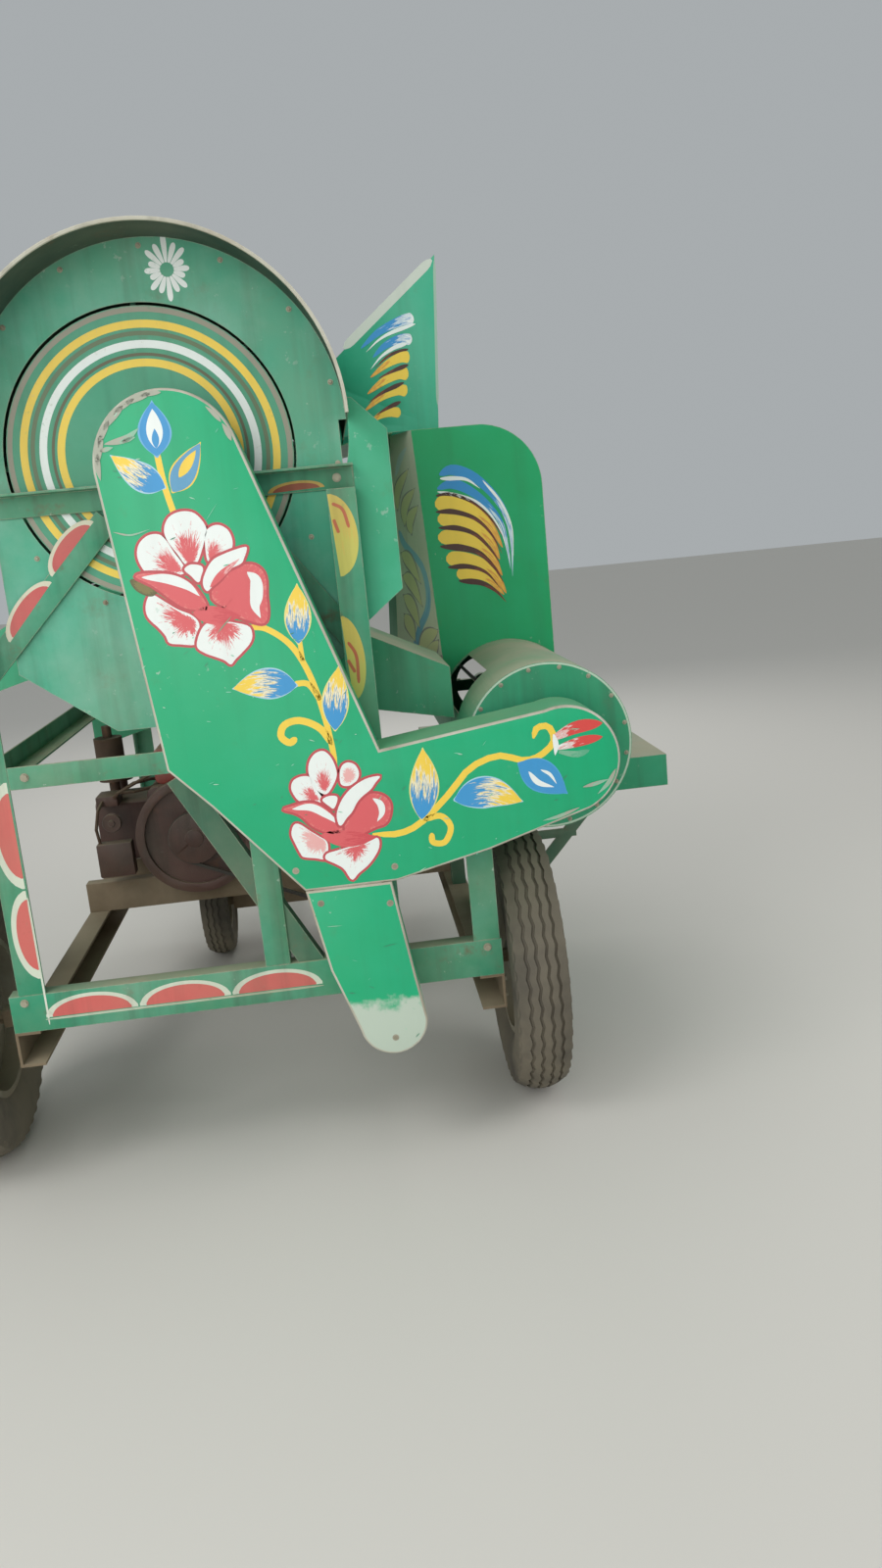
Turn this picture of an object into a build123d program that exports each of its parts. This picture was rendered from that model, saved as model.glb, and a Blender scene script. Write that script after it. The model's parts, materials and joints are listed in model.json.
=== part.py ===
# Four-wheeled power thresher for rice, with a painted sheet housing on a frame of steel angles
# Units are millimetres, +Z is up, X runs across the machine and Y along the threshing drum
# The near end, at low Y, carries the belt guard; the far end carries the steered axle and drawbar
import math
import os

from build123d import *

os.makedirs("parts", exist_ok=True)

# Driving dimensions of the whole machine
chassis_x = -150.0
near_y = -1480.0
frame_length = 2200.0
far_y = near_y + frame_length
sheet = 3.0
seat_gap = 0.3
pin_gap = 0.05

# Chassis
rail_half_span = 640.0
rail_bottom = 345.0
rail_depth = 95.0
rail_flange = 65.0
rail_wall = 7.0
beam_depth = 100.0
beam_flange = 50.0
beam_wall = 6.0
rail_top = rail_bottom + rail_depth
floor_z = rail_top + beam_depth

# End frames of angle steel
post_width = 70.0
post_wall = 6.0
left_post_x = chassis_x - 615.0
right_post_x = chassis_x + 311.0
top_beam_z = 1782.0
angle_leg = 57.0
mid_beam_z = 1133.0
short_post_x = chassis_x + 19.0
short_post_width = 65.0
end_post_x = chassis_x + 566.0
brace_width = 60.0
brace_top_spread = 177.0
brace_foot_drop = 370.0

# Threshing drum and its housing
drum_x = chassis_x - 96.0
drum_z = 1844.0
disc_radius = 340.0
disc_gap = 6.0
run_gap = 6.0
drum_shaft_radius = 25.0
bar_count = 8
bar_width = 36.0
bar_height = 22.0
tooth_size = 12.0
tooth_reach = 370.0
teeth_per_bar = 12
cover_x = chassis_x - 66.0
cover_z = 1887.0
cover_radius = 447.0
cover_overhang = 114.0
trough_inset = 22.0
trough_half_width = cover_radius - trough_inset
trough_knee_z = 1352.0
trough_floor_z = 1187.0
trough_floor_half = 208.0

# Feed side
fan_x = chassis_x + 817.0
fan_z = 1028.0
fan_radius = 220.0
fan_near_y = near_y + 64.0
feed_near_y = near_y + 740.0
feed_far_y = near_y + 1400.0
table_z = 1900.0
hood_seat_angle = 26.0
hood_top_z = 2390.0

# Side platform
deck_x = chassis_x + 1336.0
deck_z = fan_z - fan_radius - seat_gap
deck_skirt = 105.0
deck_near_y = near_y + 820.0
deck_far_y = near_y + 1880.0

# Belt drive at the near end
guard_depth = 150.0
counter_x = chassis_x + 190.0
counter_z = 985.0
input_x = chassis_x + 330.0
input_z = 395.0
belt_width = 12.0
belt_height = 10.0
groove_gap = 0.5
pulley_lip = 8.0
flange_wall = 4.0
drum_belt_y = near_y - 40.0
fan_belt_y = near_y - 75.0
input_belt_y = near_y - 110.0
drum_pulley_radius = 82.0
fan_pulley_radius = 55.0
counter_pulley_radius = 70.0
input_pulley_radius = 42.0
line_shaft_radius = 17.5
shaft_stub = 14.0

# Engine
engine_x = chassis_x - 240.0
engine_z = 690.0
engine_near_y = near_y + 975.0
engine_length = 370.0
bearer_near_y = near_y + 1000.0
bearer_far_y = near_y + 1270.0
flywheel_radius = 195.0
engine_belt_y = near_y + 880.0
engine_pulley_radius = 85.0
driven_pulley_radius = 50.0

# Wheels
near_axle_y = near_y + 280.0
near_tyre_radius = 385.0
near_tyre_width = 150.0
near_rim_radius = 210.0
near_wheel_gap = 16.0
left_hub_extra = 80.0
far_axle_y = near_y + 1720.0
far_tyre_radius = 210.0
far_tyre_width = 110.0
far_rim_radius = 110.0
far_track_half = 300.0
axle_bar = 50.0
spindle_radius = 20.0
turntable_radius = 150.0
turntable_z = 392.0
turntable_wall = 12.0
kingpin_radius = 20.0
hitch_reach = 190.0
drawbar_end_y = 1630.0
drawbar_eye_radius = 38.0
drawbar_thickness = 22.0
eye_bore_radius = 18.0


def across(y):
    """A plane that faces the near end at a given y: its x is X, its y is Z."""
    return Plane.XZ.offset(-y)


def bar(x, y, z, width, length, height):
    """A square block from its lowest corner."""
    with Locations((x, y, z)):
        Box(width, length, height, align=(Align.MIN, Align.MIN, Align.MIN))


def flat(x, z, width, height, mode=Mode.ADD):
    """A rectangle in the current sketch from its lowest corner."""
    with Locations((x, z)):
        Rectangle(width, height, align=(Align.MIN, Align.MIN), mode=mode)


def disc(x, z, radius, mode=Mode.ADD):
    """A round face in the current sketch."""
    with Locations((x, z)):
        Circle(radius, mode=mode)


def polygon(points, mode=Mode.ADD):
    """A face in the current sketch from its corners."""
    Polygon(*points, align=None, mode=mode)


def leaning_bar(start, end, width):
    """A straight strip in the current sketch between two points, level at neither end."""
    run = Vector(*end) - Vector(*start)
    side = Vector(-run.Y, run.X).normalized() * width
    corners = [start, end, (end[0] + side.X, end[1] + side.Y), (start[0] + side.X, start[1] + side.Y)]
    Polygon(*corners, align=None)


def shaft(x, z, start_y, end_y, radius):
    """A round bar along Y between two stations."""
    with Locations((x, (start_y + end_y) / 2, z)):
        Cylinder(radius, end_y - start_y, rotation=(90, 0, 0))


def pulley(x, z, middle_y, radius):
    """A grooved belt pulley: a core between two flanges."""
    groove = belt_width / 2 + groove_gap
    shaft(x, z, middle_y - groove - flange_wall, middle_y - groove, radius)
    shaft(x, z, middle_y - groove, middle_y + groove, radius - pulley_lip)
    shaft(x, z, middle_y + groove, middle_y + groove + flange_wall, radius)


# Side rails are channels with their webs outboard, bored for the near axle
with BuildPart() as side_rails:
    for side in (-1, 1):
        outer = chassis_x + side * rail_half_span
        with BuildSketch(across(far_y)) as rail_section:
            flat(min(outer, outer - side * rail_flange), rail_bottom, rail_flange, rail_depth)
            inner = outer - side * rail_wall
            flat(
                min(inner, inner - side * rail_flange),
                rail_bottom + rail_wall,
                rail_flange,
                rail_depth - 2 * rail_wall,
                mode=Mode.SUBTRACT,
            )
        extrude(amount=frame_length)
    axle_hole = axle_bar + 2 * seat_gap
    with Locations((chassis_x, near_axle_y, near_tyre_radius)):
        Box(3 * rail_half_span, axle_hole, axle_hole, mode=Mode.SUBTRACT)
side_rails.part.label = "side_rails"
export_step(side_rails.part, "parts/side_rails.step")

# Cross members are channels that lie on the rails: two at the ends, two bearers, two over the turntable
cross_ys = [
    near_y,
    bearer_near_y,
    bearer_far_y,
    far_axle_y - turntable_radius,
    far_axle_y + turntable_radius - beam_flange,
    far_y - beam_flange,
]
with BuildPart() as cross_members:
    for start_y in cross_ys:
        with BuildSketch(Plane.YZ.offset(chassis_x - rail_half_span)):
            flat(start_y, rail_top, beam_flange, beam_depth)
            flat(
                start_y + beam_wall,
                rail_top + beam_wall,
                beam_flange,
                beam_depth - 2 * beam_wall,
                mode=Mode.SUBTRACT,
            )
        extrude(amount=2 * rail_half_span)
cross_members.part.label = "cross_members"
export_step(cross_members.part, "parts/cross_members.step")

# Posts are angles: tall pairs at each end, a short one under the mid beam and one under the fan
beam_under_z = mid_beam_z - angle_leg
top_under_z = top_beam_z - angle_leg
end_post_edge = fan_x - end_post_x - post_width
end_post_top = fan_z - math.sqrt(fan_radius**2 - end_post_edge**2) - seat_gap
post_table = [  # left x, side of the return leg, top z
    (left_post_x, -1, top_under_z),
    (right_post_x, 1, top_under_z),
    (short_post_x, 1, beam_under_z),
    (end_post_x, 1, end_post_top),
]
with BuildPart() as frame_posts:
    for end_y, inward, posts in ((near_y, 1, post_table), (far_y, -1, post_table[:-1])):
        for post_x, side, post_top in posts:
            width = short_post_width if post_x == short_post_x else post_width
            face_y = min(end_y, end_y + inward * post_wall)
            leg_y = min(end_y, end_y + inward * post_width)
            leg_x = post_x if side < 0 else post_x + width - post_wall
            bar(post_x, face_y, floor_z, width, post_wall, post_top - floor_z)
            bar(leg_x, leg_y, floor_z, post_wall, post_width, post_top - floor_z)
frame_posts.part.label = "frame_posts"
export_step(frame_posts.part, "parts/frame_posts.step")

# Top beams lie on the posts with a flange towards the outside; mid beams fit between the posts
right_edge_x = right_post_x + post_width
with BuildPart() as frame_beams:
    for end_y, inward in ((near_y, 1), (far_y, -1)):
        back_y = end_y + inward * angle_leg
        web_y = min(back_y, back_y - inward * post_wall)
        top_y = min(end_y, back_y)
        face_y = min(end_y, end_y + inward * post_wall)
        span = right_edge_x - left_post_x
        bar(left_post_x, web_y, top_under_z, span, post_wall, angle_leg)
        bar(left_post_x, top_y, top_beam_z - post_wall, span, angle_leg, post_wall)
        mid_start = left_post_x + post_width
        mid_span = right_post_x - mid_start
        bar(mid_start, face_y, beam_under_z, mid_span, post_wall, angle_leg)
        bar(mid_start, top_y, beam_under_z, mid_span, angle_leg, post_wall)
frame_beams.part.label = "frame_beams"
export_step(frame_beams.part, "parts/frame_beams.step")

# Braces lean from the top beam to the posts, as an inverted V at each end
with BuildPart() as frame_braces:
    for end_y, inward in ((near_y, 1), (far_y, -1)):
        plane_y = end_y + inward * (angle_leg - 2 * post_wall if inward > 0 else angle_leg - post_wall)
        for side, foot_x in ((-1, left_post_x + post_wall), (1, right_edge_x - post_wall)):
            with BuildSketch(across(plane_y)):
                top_point = (cover_x + side * brace_top_spread, top_under_z)
                foot_point = (foot_x, top_under_z - brace_foot_drop)
                start, end = (top_point, foot_point) if side > 0 else (foot_point, top_point)
                leaning_bar(end, start, brace_width)
                flat(
                    left_post_x + post_wall,
                    beam_under_z,
                    right_edge_x - left_post_x - 2 * post_wall,
                    top_under_z - beam_under_z,
                    mode=Mode.INTERSECT,
                )
            extrude(amount=-post_wall)
frame_braces.part.label = "frame_braces"
export_step(frame_braces.part, "parts/frame_braces.step")

# Longerons join the two end frames at the top and at mid height
with BuildPart() as longerons:
    for side, edge_x in ((-1, left_post_x), (1, right_edge_x)):
        web_x = edge_x if side < 0 else edge_x - post_wall
        shelf_x = min(edge_x, edge_x - side * angle_leg)
        for level, trim in ((top_beam_z, angle_leg + sheet), (mid_beam_z, post_width)):
            run = frame_length - 2 * trim
            bar(web_x, near_y + trim, level - angle_leg, post_wall, run, angle_leg)
            bar(shelf_x, near_y + trim, level - angle_leg, angle_leg, run, post_wall)
longerons.part.label = "longerons"
export_step(longerons.part, "parts/longerons.step")

# End plates close the drum housing and the trough under it, round the drum's end disc
plate_near_y = near_y + angle_leg
plate_far_y = far_y - angle_leg - sheet
plate_left_x = cover_x - trough_half_width
plate_right_x = cover_x + trough_half_width
trough_left_x = cover_x - trough_floor_half
trough_right_x = cover_x + trough_floor_half
plate_outline = [
    (plate_left_x, cover_z),
    (plate_left_x, trough_knee_z),
    (trough_left_x, trough_floor_z),
    (trough_right_x, trough_floor_z),
    (plate_right_x, trough_knee_z),
    (plate_right_x, cover_z),
]
cover_left_x = cover_x - cover_radius
cover_low_z = cover_z - cover_radius


def end_plate_face():
    """The outline of an end plate: half a disc over the trough's section, with the drum's hole."""
    disc(cover_x, cover_z, cover_radius - sheet)
    flat(cover_left_x, cover_low_z, 2 * cover_radius, cover_radius, mode=Mode.SUBTRACT)
    polygon(plate_outline)
    disc(drum_x, drum_z, disc_radius + disc_gap, mode=Mode.SUBTRACT)


with BuildPart() as near_end_plate:
    with BuildSketch(across(plate_near_y)):
        end_plate_face()
    extrude(amount=-sheet)
near_end_plate.part.label = "near_end_plate"
export_step(near_end_plate.part, "parts/near_end_plate.step")

with BuildPart() as far_end_plate:
    with BuildSketch(across(plate_far_y)):
        end_plate_face()
    extrude(amount=-sheet)
far_end_plate.part.label = "far_end_plate"
export_step(far_end_plate.part, "parts/far_end_plate.step")

# The cover is a half round sheet that stands past both end plates, open at the feed and the straw side
cover_length = frame_length + 2 * cover_overhang
feed_slot_low = cover_z + sheet
feed_slot_high = cover_z + cover_radius * math.sin(math.radians(hood_seat_angle))
straw_near_y = far_y - 640.0
straw_far_y = far_y - 120.0
straw_slot_low = cover_z + 40.0
straw_slot_high = cover_z + 300.0
with BuildPart() as drum_cover:
    with BuildSketch(across(far_y + cover_overhang)):
        disc(cover_x, cover_z, cover_radius)
        disc(cover_x, cover_z, cover_radius - sheet, mode=Mode.SUBTRACT)
        flat(cover_left_x, cover_low_z, 2 * cover_radius, cover_radius, mode=Mode.SUBTRACT)
    extrude(amount=cover_length)
    skirt_length = plate_far_y + sheet - plate_near_y
    bar(cover_left_x, plate_near_y, top_beam_z, sheet, skirt_length, cover_z - top_beam_z)
    with Locations((cover_x, feed_near_y, feed_slot_low)):
        Box(
            cover_radius,
            feed_far_y - feed_near_y,
            feed_slot_high - feed_slot_low,
            align=(Align.MIN, Align.MIN, Align.MIN),
            mode=Mode.SUBTRACT,
        )
    with Locations((cover_x, straw_near_y, straw_slot_low)):
        Box(
            cover_radius,
            straw_far_y - straw_near_y,
            straw_slot_high - straw_slot_low,
            align=(Align.MAX, Align.MIN, Align.MIN),
            mode=Mode.SUBTRACT,
        )
drum_cover.part.label = "drum_cover"
export_step(drum_cover.part, "parts/drum_cover.step")

# The link plate carries the housing's near corner over to the feed box, with a fold and a cut corner
link_left_x = cover_x + cover_radius - 58.0
link_right_x = cover_x + cover_radius + 94.0
link_crest_x = link_right_x - 80.0
link_crest_z = cover_z + 50.0
link_root_z = cover_z + 59.0
link_shoulder_z = cover_z - 30.0
link_low_z = top_beam_z - 384.0
link_fold_z = link_low_z + 73.0
with BuildPart() as link_plate:
    with BuildSketch(across(plate_near_y)):
        polygon(
            [
                (link_left_x, top_beam_z),
                (right_edge_x, top_beam_z),
                (right_edge_x, link_low_z),
                (link_right_x, link_fold_z),
                (link_right_x, link_shoulder_z),
                (link_crest_x, link_crest_z),
                (link_left_x, link_root_z),
            ]
        )
        disc(cover_x, cover_z, cover_radius + seat_gap, mode=Mode.SUBTRACT)
    extrude(amount=-sheet)
link_plate.part.label = "link_plate"
export_step(link_plate.part, "parts/link_plate.step")

# The concave is a cradle of ribs and rods under the drum that lets grain through
concave_radius = tooth_reach + 14.0
rib_depth = 18.0
rod_size = 8.0
rod_count = 15
rod_first_turn = 22.0
rod_arc = 136.0
cradle_top_z = drum_z - 135.0
concave_ys = [plate_near_y + sheet + seat_gap + step * (frame_length - 150.0) / 3 for step in range(4)]
rib_thickness = 8.0
rod_length = concave_ys[-1] - concave_ys[0] + rib_thickness
rod_circle = concave_radius + rod_size / 2
with BuildPart() as concave:
    for rib_y in concave_ys:
        with BuildSketch(across(rib_y + rib_thickness)):
            disc(drum_x, drum_z, concave_radius + rib_depth)
            disc(drum_x, drum_z, concave_radius, mode=Mode.SUBTRACT)
            flat(
                plate_left_x + sheet + 1,
                trough_floor_z,
                2 * trough_half_width - 2 * sheet - 2,
                cradle_top_z - trough_floor_z,
                mode=Mode.INTERSECT,
            )
        extrude(amount=rib_thickness)
    for step in range(rod_count):
        turn = -math.radians(rod_first_turn + step * rod_arc / (rod_count - 1))
        rod_x = drum_x + rod_circle * math.cos(turn)
        rod_z = drum_z + rod_circle * math.sin(turn)
        bar(rod_x - rod_size / 2, concave_ys[0], rod_z - rod_size / 2, rod_size, rod_length, rod_size)
concave.part.label = "concave"
export_step(concave.part, "parts/concave.step")

# The trough under the concave is a folded sheet with an air mouth on the right and a chaff mouth on the left
trough_near_y = plate_near_y + sheet
trough_length = plate_far_y - trough_near_y
air_near_y = near_y + 300.0
air_far_y = feed_near_y - 10.0
chaff_near_y = near_y + 1050.0
chaff_far_y = near_y + 1650.0
spout_near_y = near_y + 1780.0
spout_width = 130.0
air_mouth_left_x = trough_right_x + 40.0
air_mouth_low = trough_floor_z + 10.0
air_mouth_height = 120.0
chaff_mouth_right_x = cover_x - trough_half_width + 60.0
chaff_mouth_low = trough_knee_z - 40.0
chaff_mouth_height = 220.0
with BuildPart() as grain_trough:
    with BuildSketch(across(plate_far_y)):
        polygon(
            [
                (plate_left_x, top_under_z),
                (plate_left_x, trough_knee_z),
                (trough_left_x, trough_floor_z),
                (trough_right_x, trough_floor_z),
                (plate_right_x, trough_knee_z),
                (plate_right_x, top_under_z),
                (plate_right_x - sheet, top_under_z),
                (plate_right_x - sheet, trough_knee_z + 0.6 * sheet),
                (trough_right_x - 0.4 * sheet, trough_floor_z + sheet),
                (trough_left_x + 0.4 * sheet, trough_floor_z + sheet),
                (plate_left_x + sheet, trough_knee_z + 0.6 * sheet),
                (plate_left_x + sheet, top_under_z),
            ]
        )
    extrude(amount=trough_length)
    with Locations((air_mouth_left_x, air_near_y, air_mouth_low)):
        Box(
            trough_half_width,
            air_far_y - air_near_y,
            air_mouth_height,
            align=(Align.MIN, Align.MIN, Align.MIN),
            mode=Mode.SUBTRACT,
        )
    with Locations((chaff_mouth_right_x, chaff_near_y, chaff_mouth_low)):
        Box(
            trough_half_width,
            chaff_far_y - chaff_near_y,
            chaff_mouth_height,
            align=(Align.MAX, Align.MIN, Align.MIN),
            mode=Mode.SUBTRACT,
        )
    with Locations((trough_left_x + 0.5 * trough_floor_half, spout_near_y, trough_floor_z)):
        Box(
            spout_width,
            spout_width,
            4 * sheet,
            align=(Align.CENTER, Align.MIN, Align.CENTER),
            mode=Mode.SUBTRACT,
        )
grain_trough.part.label = "grain_trough"
export_step(grain_trough.part, "parts/grain_trough.step")

# The fan casing is a sheet drum with an air inlet at each end and an outlet towards the trough
fan_far_y = feed_far_y
inlet_radius = 100.0
outlet_low = fan_z + 72.0
outlet_high = fan_z + 185.0
crossbar_half = 20.0
crossbar_lap = 5.0
with BuildPart() as fan_casing:
    with BuildSketch(across(fan_far_y)):
        disc(fan_x, fan_z, fan_radius)
        disc(fan_x, fan_z, fan_radius - sheet, mode=Mode.SUBTRACT)
    extrude(amount=fan_far_y - fan_near_y)
    for end_y in (fan_near_y + sheet, fan_far_y):
        with BuildSketch(across(end_y)):
            disc(fan_x, fan_z, fan_radius - sheet)
            disc(fan_x, fan_z, inlet_radius, mode=Mode.SUBTRACT)
            flat(
                fan_x - inlet_radius - crossbar_lap,
                fan_z - crossbar_half,
                2 * (inlet_radius + crossbar_lap),
                2 * crossbar_half,
            )
            disc(fan_x, fan_z, line_shaft_radius + 5.0, mode=Mode.SUBTRACT)
        extrude(amount=sheet)
    with Locations((fan_x, air_near_y, outlet_low)):
        Box(
            fan_radius,
            air_far_y - air_near_y,
            outlet_high - outlet_low,
            align=(Align.MAX, Align.MIN, Align.MIN),
            mode=Mode.SUBTRACT,
        )
fan_casing.part.label = "fan_casing"
export_step(fan_casing.part, "parts/fan_casing.step")

# The air duct leads the blast from the fan up into the trough
duct_mouth = 60.0
duct_fan_x = fan_x - fan_radius + duct_mouth
duct_low = outlet_low - 10.0
duct_high = outlet_high + 20.0
with BuildPart() as air_duct:
    with BuildSketch(across(air_far_y)):
        polygon(
            [
                (duct_fan_x - duct_mouth, duct_low),
                (duct_fan_x - duct_mouth, duct_high),
                (plate_right_x + 2 * seat_gap, trough_knee_z),
                (trough_right_x + 2 * seat_gap, trough_floor_z),
            ]
        )
        disc(fan_x, fan_z, fan_radius + seat_gap, mode=Mode.SUBTRACT)
    extrude(amount=air_far_y - air_near_y)
    with BuildSketch(across(air_far_y - sheet)):
        polygon(
            [
                (duct_fan_x + duct_mouth, duct_low + sheet),
                (duct_fan_x + duct_mouth, duct_high - sheet),
                (duct_fan_x - duct_mouth, duct_high - sheet),
                (plate_right_x - 8 * sheet, trough_knee_z + 2 * sheet),
                (trough_right_x - 10 * sheet, trough_floor_z - 0.5 * sheet),
                (trough_right_x + 6.0 * sheet, trough_floor_z + 0.5 * sheet),
                (duct_fan_x - duct_mouth, duct_low + sheet),
            ]
        )
    extrude(amount=air_far_y - air_near_y - 2 * sheet, mode=Mode.SUBTRACT)
air_duct.part.label = "air_duct"
export_step(air_duct.part, "parts/air_duct.step")

# The feed box stands on the fan casing: a rounded front wall, a table on top and a slanted inner wall
box_right_x = chassis_x + 972.0
box_corner = 190.0
box_base_z = fan_z
wall_low_x = chassis_x + 626.0
wall_high_x = chassis_x + 585.0
inner_low_x = chassis_x + 477.0
inner_high_x = chassis_x + 530.0
inner_wall_y = feed_near_y + 160.0


def box_plan(near_x, inner_x, inset):
    """The plan of the feed box at one height, drawn in by the wall's thickness where asked."""
    polygon(
        [
            (near_x + inset, feed_near_y + inset),
            (box_right_x - inset, feed_near_y + inset),
            (box_right_x - inset, feed_far_y - inset),
            (inner_x + inset, feed_far_y - inset),
            (inner_x + inset, inner_wall_y + inset),
        ]
    )


with BuildPart() as feed_box:
    for inset, mode in ((0.0, Mode.ADD), (sheet, Mode.SUBTRACT)):
        with BuildSketch(Plane.XY.offset(box_base_z - inset)):
            box_plan(wall_low_x, inner_low_x, inset)
        with BuildSketch(Plane.XY.offset(table_z - inset)):
            box_plan(wall_high_x, inner_high_x, inset)
        loft(ruled=True, mode=mode)
    with BuildSketch(across(feed_far_y)):
        flat(box_right_x - box_corner, table_z - box_corner, box_corner, box_corner)
        disc(box_right_x - box_corner, table_z - box_corner, box_corner, mode=Mode.SUBTRACT)
    extrude(amount=feed_far_y - feed_near_y, mode=Mode.SUBTRACT)
    with BuildSketch(across(feed_far_y)):
        disc(box_right_x - box_corner, table_z - box_corner, box_corner)
        disc(box_right_x - box_corner, table_z - box_corner, box_corner - sheet, mode=Mode.SUBTRACT)
        flat(
            box_right_x - box_corner,
            table_z - box_corner,
            box_corner,
            box_corner,
            mode=Mode.INTERSECT,
        )
    extrude(amount=feed_far_y - feed_near_y)
    with BuildSketch(across(feed_far_y + 1.0)):
        disc(fan_x, fan_z, fan_radius + seat_gap)
    extrude(amount=feed_far_y - feed_near_y + 2.0, mode=Mode.SUBTRACT)
feed_box.part.label = "feed_box"
export_step(feed_box.part, "parts/feed_box.step")

# The feed floor slopes from the table down into the drum
floor_drum_x = drum_x + tooth_reach + 20.0
floor_drum_z = table_z - 35.0
with BuildPart() as feed_floor:
    with BuildSketch(across(feed_far_y)):
        polygon(
            [
                (inner_high_x - seat_gap, table_z - sheet),
                (inner_high_x - seat_gap, table_z),
                (floor_drum_x, floor_drum_z),
                (floor_drum_x, floor_drum_z - sheet),
            ]
        )
    extrude(amount=feed_far_y - feed_near_y)
feed_floor.part.label = "feed_floor"
export_step(feed_floor.part, "parts/feed_floor.step")

# The feed hood is a sloping roof over the mouth with a three-cornered wall at each end
hood_right_x = chassis_x + 705.0
hood_foot_x = chassis_x + 672.0
hood_left_x = cover_x + cover_radius * math.cos(math.radians(hood_seat_angle))
hood_left_z = cover_z + cover_radius * math.sin(math.radians(hood_seat_angle))
hood_slope = (hood_top_z - hood_left_z) / (hood_right_x - hood_left_x)
hood_near_y = feed_near_y + 20.0
roof_drop = 1.3 * sheet
trim_run = 200.0


def hood_outline():
    """The outline of the hood's end wall, clear of the round cover."""
    polygon(
        [
            (hood_left_x, hood_left_z),
            (hood_left_x, table_z + seat_gap),
            (hood_foot_x, table_z + seat_gap),
            (hood_right_x, hood_top_z),
        ]
    )
    disc(cover_x, cover_z, cover_radius + seat_gap, mode=Mode.SUBTRACT)


with BuildPart() as feed_hood:
    for wall_y in (hood_near_y + sheet, feed_far_y):
        with BuildSketch(across(wall_y)):
            hood_outline()
        extrude(amount=sheet)
    with BuildSketch(across(feed_far_y)):
        hood_outline()
        polygon(
            [
                (hood_left_x - trim_run, hood_left_z - trim_run * hood_slope - roof_drop),
                (hood_left_x - trim_run, 0.0),
                (hood_right_x + trim_run, 0.0),
                (hood_right_x + trim_run, hood_top_z + trim_run * hood_slope - roof_drop),
            ],
            mode=Mode.SUBTRACT,
        )
    extrude(amount=feed_far_y - hood_near_y)
feed_hood.part.label = "feed_hood"
export_step(feed_hood.part, "parts/feed_hood.step")

# The straw hood throws the straw out to the left at the far end
straw_reach_x = cover_x - 760.0
straw_lip_low = straw_slot_low - 90.0
straw_lip_high = straw_slot_low + 160.0
straw_root_low = straw_slot_low - 30.0
straw_root_x = cover_x - cover_radius + 20.0
straw_crown_x = cover_x - 300.0
straw_crown_z = straw_slot_high + 130.0
straw_lap = 10.0
with BuildPart() as straw_hood:
    for wall_y in (straw_near_y, straw_far_y + sheet):
        with BuildSketch(across(wall_y)):
            polygon(
                [
                    (straw_crown_x, straw_crown_z),
                    (straw_root_x, straw_root_low),
                    (straw_reach_x, straw_lip_low),
                    (straw_reach_x, straw_lip_high),
                ]
            )
            disc(cover_x, cover_z, cover_radius + seat_gap, mode=Mode.SUBTRACT)
        extrude(amount=sheet)
    with BuildSketch(across(straw_far_y)):
        polygon(
            [
                (straw_crown_x + straw_lap, straw_crown_z),
                (straw_reach_x, straw_lip_high),
                (straw_reach_x, straw_lip_high - sheet),
                (straw_crown_x + straw_lap, straw_crown_z - sheet),
            ]
        )
        polygon(
            [
                (straw_reach_x, straw_lip_low),
                (straw_reach_x, straw_lip_low + sheet),
                (straw_root_x + straw_lap, straw_root_low + sheet),
                (straw_root_x + straw_lap, straw_root_low),
            ]
        )
        disc(cover_x, cover_z, cover_radius + seat_gap, mode=Mode.SUBTRACT)
    extrude(amount=straw_far_y - straw_near_y)
straw_hood.part.label = "straw_hood"
export_step(straw_hood.part, "parts/straw_hood.step")

# The chaff chute leads from the trough's left mouth out past the wheels
chute_lip_x = chassis_x - 1036.0
chute_lip_z = 1160.0
chute_wall = 130.0
chute_root_x = plate_left_x - seat_gap
chute_root_z = trough_knee_z - 46.0
with BuildPart() as chaff_chute:
    for wall_y in (chaff_near_y + sheet, chaff_far_y):
        with BuildSketch(across(wall_y)):
            polygon(
                [
                    (chute_lip_x, chute_lip_z),
                    (chute_root_x, chute_root_z),
                    (chute_root_x, chute_root_z + 2 * chute_wall),
                    (chute_lip_x, chute_lip_z + chute_wall),
                ]
            )
        extrude(amount=sheet)
    with BuildSketch(across(chaff_far_y)):
        polygon(
            [
                (chute_lip_x, chute_lip_z),
                (chute_root_x, chute_root_z),
                (chute_root_x, chute_root_z + sheet),
                (chute_lip_x, chute_lip_z + sheet),
            ]
        )
    extrude(amount=chaff_far_y - chaff_near_y)
chaff_chute.part.label = "chaff_chute"
export_step(chaff_chute.part, "parts/chaff_chute.step")

# The grain spout is a square chute under the trough that leans to the left
spout_x = trough_left_x + 0.5 * trough_floor_half
spout_end_x = chassis_x - 700.0
spout_end_z = 880.0
spout_heel_z = trough_floor_z - 60.0
spout_toe_z = trough_floor_z - 150.0
with BuildPart() as grain_spout:
    for inset, mode in ((0.0, Mode.ADD), (sheet, Mode.SUBTRACT)):
        with BuildSketch(across(spout_near_y + spout_width - inset)):
            polygon(
                [
                    (spout_x - spout_width / 2 + inset, trough_floor_z + inset),
                    (spout_x - spout_width / 2 + inset, spout_heel_z),
                    (spout_end_x - inset, spout_end_z + spout_width - inset),
                    (spout_end_x - inset, spout_end_z + inset),
                    (spout_x + spout_width / 2 - inset, spout_toe_z + inset),
                    (spout_x + spout_width / 2 - inset, trough_floor_z + inset),
                ]
            )
        extrude(amount=spout_width - 2 * inset, mode=mode)
grain_spout.part.label = "grain_spout"
export_step(grain_spout.part, "parts/grain_spout.step")

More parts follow.
